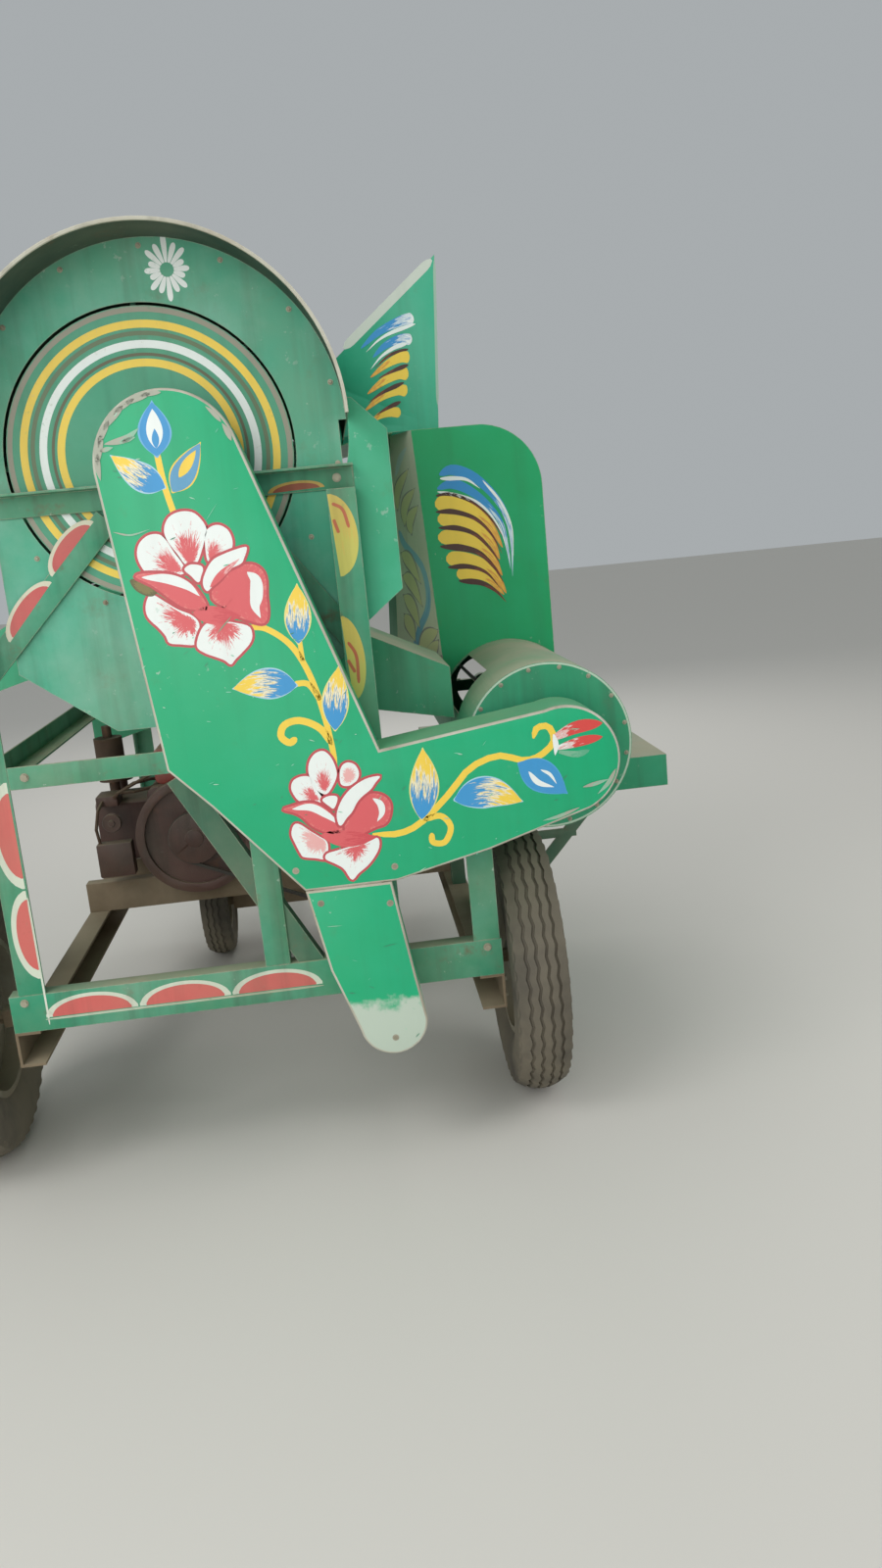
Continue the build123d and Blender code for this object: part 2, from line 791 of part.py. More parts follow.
# The belt guard is a pressed shell with three arms round the pulleys, open towards the frame
lobe_x = chassis_x - 37.0
lobe_z = 1805.0
lobe_radius = 165.0
lobe_arc = (22.0, 160.0)
arm_arc = (-67.0, 175.0)
tail_arc = (190.0, 170.0)
arm_lobe_radius = 137.0
tail_x = chassis_x + 333.0
tail_z = 407.0
tail_radius = 86.0
seam_z = 775.0
left_arm_corner = (chassis_x - 136.0, 1109.0)
left_arm_knee = (chassis_x - 44.0, 1010.0)
inside_corner = (chassis_x + 369.0, 1105.0)
right_arm_foot = (chassis_x + 380.0, seam_z)
seam_left_x = chassis_x + 152.0
arm_heel = (chassis_x + 615.0, 827.0)
seam_lip = 20.0
seam_gap = right_arm_foot[0] - seam_left_x - 3 * seam_lip
with BuildPart() as belt_guard:
    with BuildSketch(across(near_y)) as guard_shape:
        with BuildLine():
            top_arc = CenterArc((lobe_x, lobe_z), lobe_radius, *lobe_arc)
            Line(top_arc @ 1, left_arm_corner)
            Line(left_arm_corner, left_arm_knee)
            Line(left_arm_knee, (seam_left_x, seam_z))
            Line((seam_left_x, seam_z), right_arm_foot)
            Line(right_arm_foot, arm_heel)
            side_arc = CenterArc((fan_x, fan_z), arm_lobe_radius, *arm_arc)
            Line(arm_heel, side_arc @ 0)
            Line(side_arc @ 1, inside_corner)
            Line(inside_corner, top_arc @ 0)
        make_face()
    extrude(amount=guard_depth)
    with BuildSketch(across(near_y)):
        add(guard_shape.sketch_local)
        offset(amount=-sheet)
        flat(seam_left_x + seam_lip, seam_z - seam_lip, seam_gap, 2 * seam_lip)
    extrude(amount=guard_depth - sheet, mode=Mode.SUBTRACT)
belt_guard.part.label = "belt_guard"
export_step(belt_guard.part, "parts/belt_guard.step")

# The guard's tail is a second shell under the seam that ends in a round tip over the input pulley
tail_shoulder = (chassis_x + 191.0, 562.0)
tail_step_z = seam_z - seat_gap
tail_heel = (chassis_x + 400.0, 528.0)
tail_root = (right_arm_foot[0] - 15.0, tail_step_z)
with BuildPart() as guard_tail:
    with BuildSketch(across(near_y)) as tail_shape:
        with BuildLine():
            tip_arc = CenterArc((tail_x, tail_z), tail_radius, *tail_arc)
            Line((seam_left_x, tail_step_z), tail_shoulder)
            Line(tail_shoulder, tip_arc @ 0)
            Line(tip_arc @ 1, tail_heel)
            Line(tail_heel, tail_root)
            Line(tail_root, (seam_left_x, tail_step_z))
        make_face()
    extrude(amount=guard_depth)
    with BuildSketch(across(near_y)):
        add(tail_shape.sketch_local)
        offset(amount=-sheet)
        flat(seam_left_x + seam_lip, seam_z - seam_lip, seam_gap, 2 * seam_lip)
    extrude(amount=guard_depth - sheet, mode=Mode.SUBTRACT)
guard_tail.part.label = "guard_tail"
export_step(guard_tail.part, "parts/guard_tail.step")

# Bearing blocks carry the drum, the countershaft, the input shaft and the fan
bearing_half = 40.0
block_length = 44.0
block_inset = 4.0
input_block_inset = 3.0
block_gap = 60.0
foot_half = 56.0
foot_height = 14.0
inlet_bar_half = 18.0
fan_boss_radius = 36.0
drum_block_height = drum_z - top_beam_z + bearing_half
shaft_bore = line_shaft_radius + pin_gap
with BuildPart() as bearing_blocks:
    for block_y in (near_y + block_inset, far_y - block_inset - block_length):
        bar(drum_x - foot_half, block_y, top_beam_z, 2 * foot_half, block_length, foot_height)
        bar(drum_x - bearing_half, block_y, top_beam_z, 2 * bearing_half, block_length, drum_block_height)
    for block_y in (near_y + block_inset, near_y + block_inset + block_length + block_gap):
        low = counter_z - bearing_half
        bar(counter_x - bearing_half, block_y, low, 2 * bearing_half, block_length, 2 * bearing_half)
    bar(
        counter_x - bearing_half,
        near_y + block_inset,
        counter_z + bearing_half,
        2 * bearing_half,
        2 * block_length + block_gap,
        beam_under_z - counter_z - bearing_half,
    )
    for block_y in (near_y + input_block_inset, bearer_near_y + input_block_inset):
        low = input_z - bearing_half
        bar(input_x - bearing_half, block_y, low, 2 * bearing_half, block_length, rail_top - low)
    with BuildSketch(across(far_y + 1.0)):
        disc(drum_x, drum_z, drum_shaft_radius + pin_gap)
    extrude(amount=frame_length + 2.0, mode=Mode.SUBTRACT)
    with BuildSketch(across(near_y + 2 * frame_length)):
        disc(counter_x, counter_z, shaft_bore)
        disc(input_x, input_z, shaft_bore)
    extrude(amount=3 * frame_length, mode=Mode.SUBTRACT)
    for block_y in (fan_near_y, fan_far_y + block_length):
        with BuildSketch(across(block_y)):
            flat(fan_x - inlet_radius, fan_z - inlet_bar_half, 2 * inlet_radius, 2 * inlet_bar_half)
            disc(fan_x, fan_z, fan_boss_radius)
            disc(fan_x, fan_z, shaft_bore, mode=Mode.SUBTRACT)
        extrude(amount=block_length)
bearing_blocks.part.label = "bearing_blocks"
export_step(bearing_blocks.part, "parts/bearing_blocks.step")


# The drum carries bars of square teeth on two wheels between its end discs, just inside the end plates
rotor_near_y = near_y + angle_leg + run_gap
rotor_far_y = far_y - angle_leg - run_gap
bar_start_y = rotor_near_y + sheet
bar_length = rotor_far_y - rotor_near_y - 2 * sheet
bar_circle = tooth_reach - 70.0
tooth_margin = 40.0
tooth_pitch = (bar_length - 2 * tooth_margin) / (teeth_per_bar - 1)
wheel_rim = 60.0
with BuildPart() as drum_rotor:
    with BuildSketch(across(rotor_near_y + sheet), across(rotor_far_y)):
        disc(drum_x, drum_z, disc_radius)
        disc(drum_x, drum_z, drum_shaft_radius + pin_gap, mode=Mode.SUBTRACT)
    extrude(amount=sheet)
    with BuildSketch(across(rotor_near_y + bar_length / 3), across(rotor_near_y + 2 * bar_length / 3)):
        disc(drum_x, drum_z, bar_circle)
        disc(drum_x, drum_z, bar_circle - wheel_rim, mode=Mode.SUBTRACT)
        with Locations((drum_x, drum_z)):
            Rectangle(2 * bar_circle - wheel_rim, wheel_rim)
            Rectangle(wheel_rim, 2 * bar_circle - wheel_rim)
        disc(drum_x, drum_z, drum_shaft_radius + pin_gap, mode=Mode.SUBTRACT)
    extrude(amount=2 * flange_wall)
    with BuildSketch(across(bar_start_y + bar_length)):
        with Locations((drum_x, drum_z)):
            with PolarLocations(bar_circle, bar_count):
                Rectangle(bar_height, bar_width)
    extrude(amount=bar_length)
    for row in (0, 1):
        first_y = bar_start_y + tooth_margin + row * tooth_pitch / 2 + tooth_size / 2
        with BuildSketch(*[across(first_y + step * tooth_pitch) for step in range(teeth_per_bar - row)]):
            with Locations((drum_x, drum_z)):
                turn = row * 360.0 / bar_count
                with PolarLocations((bar_circle + tooth_reach) / 2, bar_count // 2, start_angle=turn):
                    Rectangle(tooth_reach - bar_circle, tooth_size)
        extrude(amount=tooth_size)
drum_rotor.part.label = "drum_rotor"
export_step(drum_rotor.part, "parts/drum_rotor.step")

with BuildPart() as drum_shaft:
    shaft(drum_x, drum_z, drum_belt_y - shaft_stub, far_y + shaft_stub, drum_shaft_radius)
    pulley(drum_x, drum_z, drum_belt_y, drum_pulley_radius)
drum_shaft.part.label = "drum_shaft"
export_step(drum_shaft.part, "parts/drum_shaft.step")

# The fan is a shaft with four flat blades on arms
blade_count = 4
blade_height = 110.0
blade_reach = fan_radius - sheet - 14.0
blade_margin = 20.0
blade_length = fan_far_y - fan_near_y - 2 * blade_margin
arm_width = 30.0
blade_turn = 45.0
arm_stations = (0.25, 0.85)
with BuildPart() as fan_rotor:
    shaft(fan_x, fan_z, fan_belt_y - shaft_stub, fan_far_y + block_length + shaft_stub, line_shaft_radius)
    pulley(fan_x, fan_z, fan_belt_y, fan_pulley_radius)
    with BuildSketch(across(fan_far_y - blade_margin)):
        with Locations((fan_x, fan_z)):
            with PolarLocations(blade_reach - blade_height / 2, blade_count, start_angle=blade_turn):
                Rectangle(blade_height, sheet)
    extrude(amount=blade_length)
    with BuildSketch(*[across(fan_near_y + station * blade_length) for station in arm_stations]):
        with Locations((fan_x, fan_z)):
            Rectangle(2 * blade_reach - blade_height, sheet, rotation=blade_turn)
            Rectangle(2 * blade_reach - blade_height, sheet, rotation=-blade_turn)
    extrude(amount=arm_width)
fan_rotor.part.label = "fan_rotor"
export_step(fan_rotor.part, "parts/fan_rotor.step")

# The countershaft takes the input belt and drives the drum and the fan
counter_end_y = near_y + 2 * block_length + block_gap + 20.0
with BuildPart() as countershaft:
    shaft(counter_x, counter_z, input_belt_y - shaft_stub, counter_end_y, line_shaft_radius)
    for belt_y in (drum_belt_y, fan_belt_y, input_belt_y):
        pulley(counter_x, counter_z, belt_y, counter_pulley_radius)
countershaft.part.label = "countershaft"
export_step(countershaft.part, "parts/countershaft.step")

# The input shaft runs under the frame from the engine's belt to the guard's tail
input_end_y = bearer_near_y + block_length + 10.0
with BuildPart() as input_shaft:
    shaft(input_x, input_z, input_belt_y - shaft_stub, input_end_y, line_shaft_radius)
    pulley(input_x, input_z, input_belt_y, input_pulley_radius)
    pulley(input_x, input_z, engine_belt_y, driven_pulley_radius)
input_shaft.part.label = "input_shaft"
export_step(input_shaft.part, "parts/input_shaft.step")

# Belts are closed loops that lie in the pulleys' grooves with a little play
belt_table = [  # middle y, first pulley's x, z and radius, second pulley's x, z and radius
    (drum_belt_y, drum_x, drum_z, drum_pulley_radius, counter_x, counter_z, counter_pulley_radius),
    (fan_belt_y, fan_x, fan_z, fan_pulley_radius, counter_x, counter_z, counter_pulley_radius),
    (input_belt_y, input_x, input_z, input_pulley_radius, counter_x, counter_z, counter_pulley_radius),
    (engine_belt_y, engine_x, engine_z, engine_pulley_radius, input_x, input_z, driven_pulley_radius),
]
with BuildPart() as drive_belts:
    for middle_y, x1, z1, radius1, x2, z2, radius2 in belt_table:
        seat = seat_gap - pulley_lip
        for grow, mode in ((belt_height, Mode.ADD), (0.0, Mode.SUBTRACT)):
            with BuildSketch(across(middle_y + belt_width / 2)):
                disc(x1, z1, radius1 + seat + grow)
                disc(x2, z2, radius2 + seat + grow)
                make_hull()
            extrude(amount=belt_width, mode=mode)
drive_belts.part.label = "drive_belts"
export_step(drive_belts.part, "parts/drive_belts.step")

# The engine lies across the bearers: a crankcase with its cylinder to the left, a tank and an exhaust
crankcase_half = 150.0
head_x = engine_x - crankcase_half - 190.0
crankcase_top = engine_z + 165.0
crank_radius = 30.0
boss_radius = 60.0
boss_length = 12.0
bore_depth = 6.0
crankcase_round = 30.0
head_lift = 10.0
head_height = 210.0
head_round = 20.0
tank_left_x = engine_x - 120.0
tank_width = 250.0
tank_inset = 30.0
tank_height = 120.0
tank_round = 25.0
filler_radius = 28.0
filler_height = 22.0
with BuildPart() as engine_block:
    bar(
        engine_x - crankcase_half,
        engine_near_y,
        floor_z,
        2 * crankcase_half,
        engine_length,
        crankcase_top - floor_z,
    )
    fillet(engine_block.edges().filter_by(Axis.Y).group_by(Axis.Z)[-1], crankcase_round)
    with BuildSketch(Plane.YZ.offset(engine_x - crankcase_half + 1.0)):
        with Locations((engine_near_y + engine_length / 2, engine_z + head_lift)):
            RectangleRounded(0.6 * engine_length, head_height, head_round)
    extrude(amount=-(engine_x - crankcase_half - head_x))
    shaft(engine_x, engine_z, engine_near_y - boss_length, engine_near_y + boss_length, boss_radius)
    with BuildSketch(across(engine_near_y + bore_depth)):
        disc(engine_x, engine_z, crank_radius + pin_gap)
    extrude(amount=bore_depth + boss_length, mode=Mode.SUBTRACT)
engine_block.part.label = "engine_block"
export_step(engine_block.part, "parts/engine_block.step")

with BuildPart() as engine_tank:
    bar(
        tank_left_x,
        engine_near_y + tank_inset,
        crankcase_top,
        tank_width,
        engine_length - 2 * tank_inset,
        tank_height,
    )
    fillet(engine_tank.edges().filter_by(Axis.Y), tank_round)
    with Locations((engine_x, engine_near_y + engine_length / 2, crankcase_top + tank_height - 1.0)):
        Cylinder(filler_radius, filler_height, align=(Align.CENTER, Align.CENTER, Align.MIN))
engine_tank.part.label = "engine_tank"
export_step(engine_tank.part, "parts/engine_tank.step")

muffler_x = head_x + 55.0
muffler_y = engine_near_y + engine_length / 2
head_top = engine_z + 115.0
pipe_radius = 18.0
pipe_length = 60.0
muffler_radius = 48.0
muffler_length = 150.0
tail_pipe_radius = 16.0
tail_pipe_length = 45.0
pipe_lap = 5.0
muffler_foot = head_top + pipe_length - pipe_lap
muffler_crown = muffler_foot + muffler_length - pipe_lap
with BuildPart() as engine_exhaust:
    with BuildSketch(Plane.XY.offset(head_top)):
        with Locations((muffler_x, muffler_y)):
            Circle(pipe_radius)
    extrude(amount=pipe_length)
    with BuildSketch(Plane.XY.offset(muffler_foot)):
        with Locations((muffler_x, muffler_y)):
            Circle(muffler_radius)
    extrude(amount=muffler_length)
    with BuildSketch(Plane.XY.offset(muffler_crown)):
        with Locations((muffler_x, muffler_y)):
            Circle(tail_pipe_radius)
    extrude(amount=tail_pipe_length)
engine_exhaust.part.label = "engine_exhaust"
export_step(engine_exhaust.part, "parts/engine_exhaust.step")

flywheel_back_y = engine_near_y - boss_length - run_gap
flywheel_width = 50.0
flywheel_recess = 14.0
flywheel_rim = 30.0
with BuildPart() as engine_flywheel:
    flywheel_face_y = flywheel_back_y - flywheel_width
    shaft(engine_x, engine_z, flywheel_face_y, flywheel_back_y, flywheel_radius)
    with BuildSketch(across(flywheel_face_y + flywheel_recess)):
        disc(engine_x, engine_z, flywheel_radius - flywheel_rim)
        disc(engine_x, engine_z, boss_radius, mode=Mode.SUBTRACT)
    extrude(amount=flywheel_recess, mode=Mode.SUBTRACT)
    shaft(engine_x, engine_z, engine_belt_y - shaft_stub, engine_near_y + bore_depth - 1.0, crank_radius)
    pulley(engine_x, engine_z, engine_belt_y, engine_pulley_radius)
engine_flywheel.part.label = "engine_flywheel"
export_step(engine_flywheel.part, "parts/engine_flywheel.step")

# The platform is a deck with a skirt, on posts, ties and struts from the right rail
deck_left_x = chassis_x + rail_half_span - 50.0
skirt_wall = 4.0
deck_width = deck_x - deck_left_x
deck_length = deck_far_y - deck_near_y
with BuildPart() as platform_deck:
    bar(deck_left_x, deck_near_y, deck_z - skirt_wall, deck_width, deck_length, skirt_wall)
    bar(deck_left_x, deck_near_y, deck_z - deck_skirt, deck_width, skirt_wall, deck_skirt)
    bar(deck_left_x, deck_far_y - skirt_wall, deck_z - deck_skirt, deck_width, skirt_wall, deck_skirt)
    bar(deck_x - skirt_wall, deck_near_y, deck_z - deck_skirt, skirt_wall, deck_length, deck_skirt)
    with BuildSketch(across(deck_far_y)):
        disc(fan_x, fan_z, fan_radius + seat_gap)
    extrude(amount=deck_length, mode=Mode.SUBTRACT)
platform_deck.part.label = "platform_deck"
export_step(platform_deck.part, "parts/platform_deck.step")

strut_width = 45.0
strut_wall = 6.0
strut_foot_x = chassis_x + 830.0
arm_z = rail_bottom + 35.0
arm_depth = 30.0
tie_z = 560.0
deck_under_z = deck_z - skirt_wall
far_strut_y = deck_far_y - 130.0
arm_reach = 230.0
tie_reach = 385.0
strut_heel_x = strut_foot_x - 30.0
strut_toe_x = strut_foot_x + 25.0
strut_head_x = deck_x - 165.0
strut_crest_x = deck_x - 110.0
with BuildPart() as platform_struts:
    for strut_y in (deck_near_y + skirt_wall + 2 * strut_wall, far_strut_y):
        bar(deck_left_x, strut_y, rail_top, strut_width, strut_width, deck_under_z - rail_top)
        bar(chassis_x + rail_half_span, strut_y, arm_z, arm_reach, strut_width, arm_depth)
        bar(deck_left_x + strut_width, strut_y, tie_z, tie_reach, strut_wall, arm_depth)
        with BuildSketch(across(strut_y + strut_wall)):
            polygon(
                [
                    (strut_heel_x, arm_z + arm_depth / 2),
                    (strut_toe_x, arm_z + arm_depth / 2),
                    (strut_crest_x, deck_under_z),
                    (strut_head_x, deck_under_z),
                ]
            )
        extrude(amount=strut_wall)
platform_struts.part.label = "platform_struts"
export_step(platform_struts.part, "parts/platform_struts.step")

# The near axle is a pair of stubs, each a square bar in a sleeve inside its rail, with a round spindle
near_track_half = rail_half_span + near_wheel_gap + near_tyre_width / 2
near_tracks = ((-1, near_track_half + left_hub_extra), (1, near_track_half))
spindle_inset = 20.0
bar_lap = 10.0
stub_run = 220.0
stub_inner = rail_half_span - stub_run
sleeve_half = near_tyre_radius - rail_bottom - rail_wall - seat_gap
sleeve_length = rail_half_span - rail_wall - stub_inner
with BuildPart() as near_axle:
    for side, track_half in near_tracks:
        bar_end = track_half - near_tyre_width / 2 + bar_lap
        spindle_end = track_half + near_tyre_width / 2 - spindle_inset
        with Locations((chassis_x + side * (stub_inner + bar_end) / 2, near_axle_y, near_tyre_radius)):
            Box(bar_end - stub_inner, axle_bar, axle_bar)
        with Locations((chassis_x + side * (stub_inner + spindle_end) / 2, near_axle_y, near_tyre_radius)):
            Cylinder(spindle_radius, spindle_end - stub_inner, rotation=(0, 90, 0))
near_axle.part.label = "near_axle"
export_step(near_axle.part, "parts/near_axle.step")

with BuildPart() as axle_sleeves:
    for side in (-1, 1):
        with Locations((chassis_x + side * (stub_inner + sleeve_length / 2), near_axle_y, near_tyre_radius)):
            Box(sleeve_length, 2 * sleeve_half, 2 * sleeve_half)
            Box(sleeve_length, axle_hole, axle_hole, mode=Mode.SUBTRACT)
axle_sleeves.part.label = "axle_sleeves"
export_step(axle_sleeves.part, "parts/axle_sleeves.step")

# The turntable's upper plate hangs under the two far cross members and holds the kingpin
with BuildPart() as turntable_plate:
    with BuildSketch(Plane.XY.offset(turntable_z + seat_gap)):
        with Locations((chassis_x, far_axle_y)):
            Circle(turntable_radius)
    extrude(amount=turntable_wall)
    with Locations((chassis_x, far_axle_y, turntable_z + turntable_wall)):
        Box(
            2 * turntable_radius,
            2 * turntable_radius,
            rail_top - turntable_z - turntable_wall,
            align=(Align.CENTER, Align.CENTER, Align.MIN),
        )
        Cylinder(kingpin_radius + pin_gap, rail_top, mode=Mode.SUBTRACT)
turntable_plate.part.label = "turntable_plate"
export_step(turntable_plate.part, "parts/turntable_plate.step")

# The steered axle carries the lower plate, the kingpin, the spindles and the hitch lugs
far_spindle_end = far_track_half + far_tyre_width / 2 - 15.0
far_bar_half = far_track_half - far_tyre_width / 2 - 8.0
hitch_y = far_axle_y + hitch_reach
hitch_pin_radius = 11.0
lug_gap = 70.0
lug_wall = 12.0
lug_lap = 25.0
lug_height = 50.0
axle_beam = 60.0
pedestal_width = 110.0
plate_low = turntable_z - turntable_wall
with BuildPart() as steered_axle:
    with Locations((chassis_x, far_axle_y, far_tyre_radius)):
        Box(2 * far_bar_half, axle_beam, axle_beam)
        Cylinder(spindle_radius, 2 * far_spindle_end, rotation=(0, 90, 0))
        Box(
            pedestal_width,
            pedestal_width,
            plate_low - far_tyre_radius,
            align=(Align.CENTER, Align.CENTER, Align.MIN),
        )
    with BuildSketch(Plane.XY.offset(plate_low)):
        with Locations((chassis_x, far_axle_y)):
            Circle(turntable_radius)
    extrude(amount=turntable_wall)
    with BuildSketch(Plane.XY.offset(turntable_z)):
        with Locations((chassis_x, far_axle_y)):
            Circle(kingpin_radius)
    extrude(amount=rail_top - turntable_z + turntable_wall)
    for side in (-1, 1):
        lug_x = chassis_x + side * (lug_gap / 2 + lug_wall / 2)
        with Locations((lug_x, far_axle_y, far_tyre_radius)):
            Box(lug_wall, hitch_reach + lug_lap, lug_height, align=(Align.CENTER, Align.MIN, Align.CENTER))
        with Locations((lug_x, hitch_y, far_tyre_radius)):
            Cylinder(hitch_pin_radius, 3 * lug_wall, rotation=(0, 90, 0), mode=Mode.SUBTRACT)
steered_axle.part.label = "steered_axle"
export_step(steered_axle.part, "parts/steered_axle.step")

# The drawbar hinges on the lugs and lies with its flat eye on the ground
eye_y = drawbar_end_y - drawbar_eye_radius
tongue_y = eye_y - 60.0
drawbar_width = 50.0
half_plank = drawbar_thickness / 2
with BuildPart() as drawbar:
    with BuildSketch(Plane.YZ.offset(chassis_x - drawbar_width / 2)):
        polygon(
            [
                (hitch_y, far_tyre_radius - half_plank),
                (tongue_y, 0.0),
                (tongue_y, drawbar_thickness),
                (hitch_y, far_tyre_radius + half_plank),
            ]
        )
    extrude(amount=drawbar_width)
    bar(chassis_x - drawbar_width / 2, tongue_y, 0.0, drawbar_width, eye_y - tongue_y, drawbar_thickness)
    with Locations((chassis_x, eye_y, 0.0)):
        Cylinder(drawbar_eye_radius, drawbar_thickness, align=(Align.CENTER, Align.CENTER, Align.MIN))
        Cylinder(eye_bore_radius, 3 * drawbar_thickness, mode=Mode.SUBTRACT)
    with Locations((chassis_x, hitch_y, far_tyre_radius)):
        Cylinder(2 * hitch_pin_radius, lug_gap - 2.0, rotation=(0, 90, 0))
        Cylinder(hitch_pin_radius - pin_gap, lug_gap + 2 * lug_wall + 10.0, rotation=(0, 90, 0))
drawbar.part.label = "drawbar"
export_step(drawbar.part, "parts/drawbar.step")

# Wheels: a dished steel disc wheel and a worn road tyre, turned round the axle's line
wheel_table = [  # name, side, axle y, tyre radius, tyre width, rim radius, half track
    ("near_left", -1, near_axle_y, near_tyre_radius, near_tyre_width, near_rim_radius, near_tracks[0][1]),
    ("near_right", 1, near_axle_y, near_tyre_radius, near_tyre_width, near_rim_radius, near_tracks[1][1]),
    ("far_left", -1, far_axle_y, far_tyre_radius, far_tyre_width, far_rim_radius, far_track_half),
    ("far_right", 1, far_axle_y, far_tyre_radius, far_tyre_width, far_rim_radius, far_track_half),
]
hub_wall = 22.0
wheel_wall = 5.0
flange_height = 14.0
rim_share = 0.36
hub_share = 0.30
shoulder_share = 0.16
bead_lap = 2.0
shoulder_inset = 6.0
hub_radius = spindle_radius + hub_wall
for wheel_name, side, axle_y, tyre_radius, tyre_width, rim_radius, track_half in wheel_table:
    wheel_plane = Plane(
        origin=(chassis_x + side * track_half, axle_y, tyre_radius),
        x_dir=(side, 0, 0),
        z_dir=(0, -side, 0),
    )
    half = tyre_width / 2
    rim_half = rim_share * tyre_width
    hub_half = hub_share * tyre_width
    with BuildPart() as rim:
        with BuildSketch(wheel_plane):
            flat(-hub_half, spindle_radius + pin_gap, 2 * hub_half, hub_radius - spindle_radius - pin_gap)
            flat(0.0, hub_radius - 2.0, wheel_wall, rim_radius - hub_radius)
            flat(-rim_half, rim_radius - wheel_wall, 2 * rim_half, wheel_wall)
            flat(-rim_half, rim_radius - wheel_wall, wheel_wall, flange_height + wheel_wall)
            flat(rim_half - wheel_wall, rim_radius - wheel_wall, wheel_wall, flange_height + wheel_wall)
        revolve(axis=Axis((0, axle_y, tyre_radius), (1, 0, 0)))
    rim.part.label = f"rim_{wheel_name}"
    export_step(rim.part, f"parts/rim_{wheel_name}.step")
    with BuildPart() as tyre:
        with BuildSketch(wheel_plane):
            bead = rim_half - wheel_wall - seat_gap
            seat_radius = rim_radius + seat_gap
            lip_radius = rim_radius + flange_height + seat_gap
            shoulder = tyre_radius - shoulder_share * tyre_width
            with BuildLine():
                Line((-bead, seat_radius), (bead, seat_radius))
                Line((bead, seat_radius), (bead, lip_radius))
                Line((bead, lip_radius), (rim_half + bead_lap, lip_radius + bead_lap))
                ThreePointArc(
                    (rim_half + bead_lap, lip_radius + bead_lap),
                    (half, 0.5 * (rim_radius + shoulder)),
                    (half - shoulder_inset, shoulder),
                )
                ThreePointArc(
                    (half - shoulder_inset, shoulder),
                    (0.0, tyre_radius),
                    (shoulder_inset - half, shoulder),
                )
                ThreePointArc(
                    (shoulder_inset - half, shoulder),
                    (-half, 0.5 * (rim_radius + shoulder)),
                    (-rim_half - bead_lap, lip_radius + bead_lap),
                )
                Line((-rim_half - bead_lap, lip_radius + bead_lap), (-bead, lip_radius))
                Line((-bead, lip_radius), (-bead, seat_radius))
            make_face()
        revolve(axis=Axis((0, axle_y, tyre_radius), (1, 0, 0)))
    tyre.part.label = f"tyre_{wheel_name}"
    export_step(tyre.part, f"parts/tyre_{wheel_name}.step")
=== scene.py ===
"""Looks for a four-wheeled power thresher for rice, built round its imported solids.

The machine is painted by hand: emerald sheet with roses, leaves and fruit bunches. Each sub-assembly is
a class that dresses its own nodes and adds its own fittings; lengths are metres in the machine's frame.
"""

import json
import logging
import math
import random
from collections.abc import Callable
from dataclasses import dataclass, field, replace
from enum import Enum

import bmesh
import bpy
from mathutils import Matrix, Vector
from mathutils.bvhtree import BVHTree

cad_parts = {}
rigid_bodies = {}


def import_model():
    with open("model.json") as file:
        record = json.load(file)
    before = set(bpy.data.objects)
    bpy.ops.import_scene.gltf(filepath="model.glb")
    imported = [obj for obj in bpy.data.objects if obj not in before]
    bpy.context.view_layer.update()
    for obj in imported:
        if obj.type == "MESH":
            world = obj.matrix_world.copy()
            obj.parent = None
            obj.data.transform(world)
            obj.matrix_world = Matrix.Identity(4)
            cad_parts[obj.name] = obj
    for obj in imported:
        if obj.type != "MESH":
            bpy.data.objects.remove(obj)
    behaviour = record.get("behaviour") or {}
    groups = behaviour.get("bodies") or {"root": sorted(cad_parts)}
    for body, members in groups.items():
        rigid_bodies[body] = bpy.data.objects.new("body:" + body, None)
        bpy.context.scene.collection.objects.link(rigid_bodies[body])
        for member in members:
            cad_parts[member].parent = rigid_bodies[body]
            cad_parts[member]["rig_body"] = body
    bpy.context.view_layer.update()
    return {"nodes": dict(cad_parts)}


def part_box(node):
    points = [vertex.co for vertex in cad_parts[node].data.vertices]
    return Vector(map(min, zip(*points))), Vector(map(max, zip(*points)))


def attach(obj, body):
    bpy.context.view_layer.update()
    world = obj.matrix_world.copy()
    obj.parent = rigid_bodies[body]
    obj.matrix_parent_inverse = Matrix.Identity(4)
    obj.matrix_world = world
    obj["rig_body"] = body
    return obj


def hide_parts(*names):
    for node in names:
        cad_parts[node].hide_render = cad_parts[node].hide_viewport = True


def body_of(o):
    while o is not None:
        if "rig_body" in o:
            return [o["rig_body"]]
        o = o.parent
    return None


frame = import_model()

LOG = logging.getLogger("thresher")

Point = tuple[float, float]
Curve = tuple[Point, ...]
Corner = tuple[float, float, float]
Socket = bpy.types.NodeSocket
Shape = bmesh.types.BMesh
Piece = bpy.types.Object
Pieces = list[Piece]

# Points of a solid that lie nearer than this are one, and folds turn by more than the sharp angle
JOIN = 0.00005
FLAT = math.radians(0.4)
SHARP = math.radians(40)

# Paint lies over its sheet in thin steps, and the guard's face is set back under it
PAINT_STEP = 0.00015
FACE_RECESS = 0.0014

# Corners that the painted panels share, read from the solids
GUARD_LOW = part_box("belt_guard")[0]
PLATE_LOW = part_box("near_end_plate")[0]
ROTOR_LOW, ROTOR_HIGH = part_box("drum_rotor")
COVER_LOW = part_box("drum_cover")[0]
FEED_LOW, FEED_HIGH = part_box("feed_box")
HOOD_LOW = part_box("feed_hood")[0]
POST_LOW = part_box("frame_posts")[0]
BRACE_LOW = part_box("frame_braces")[0]
CASING_LOW, CASING_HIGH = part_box("fan_casing")

NEAR = Vector((0, -1, 0))
RIGHT = Vector((1, 0, 0))
UP = Vector((0, 0, 1))

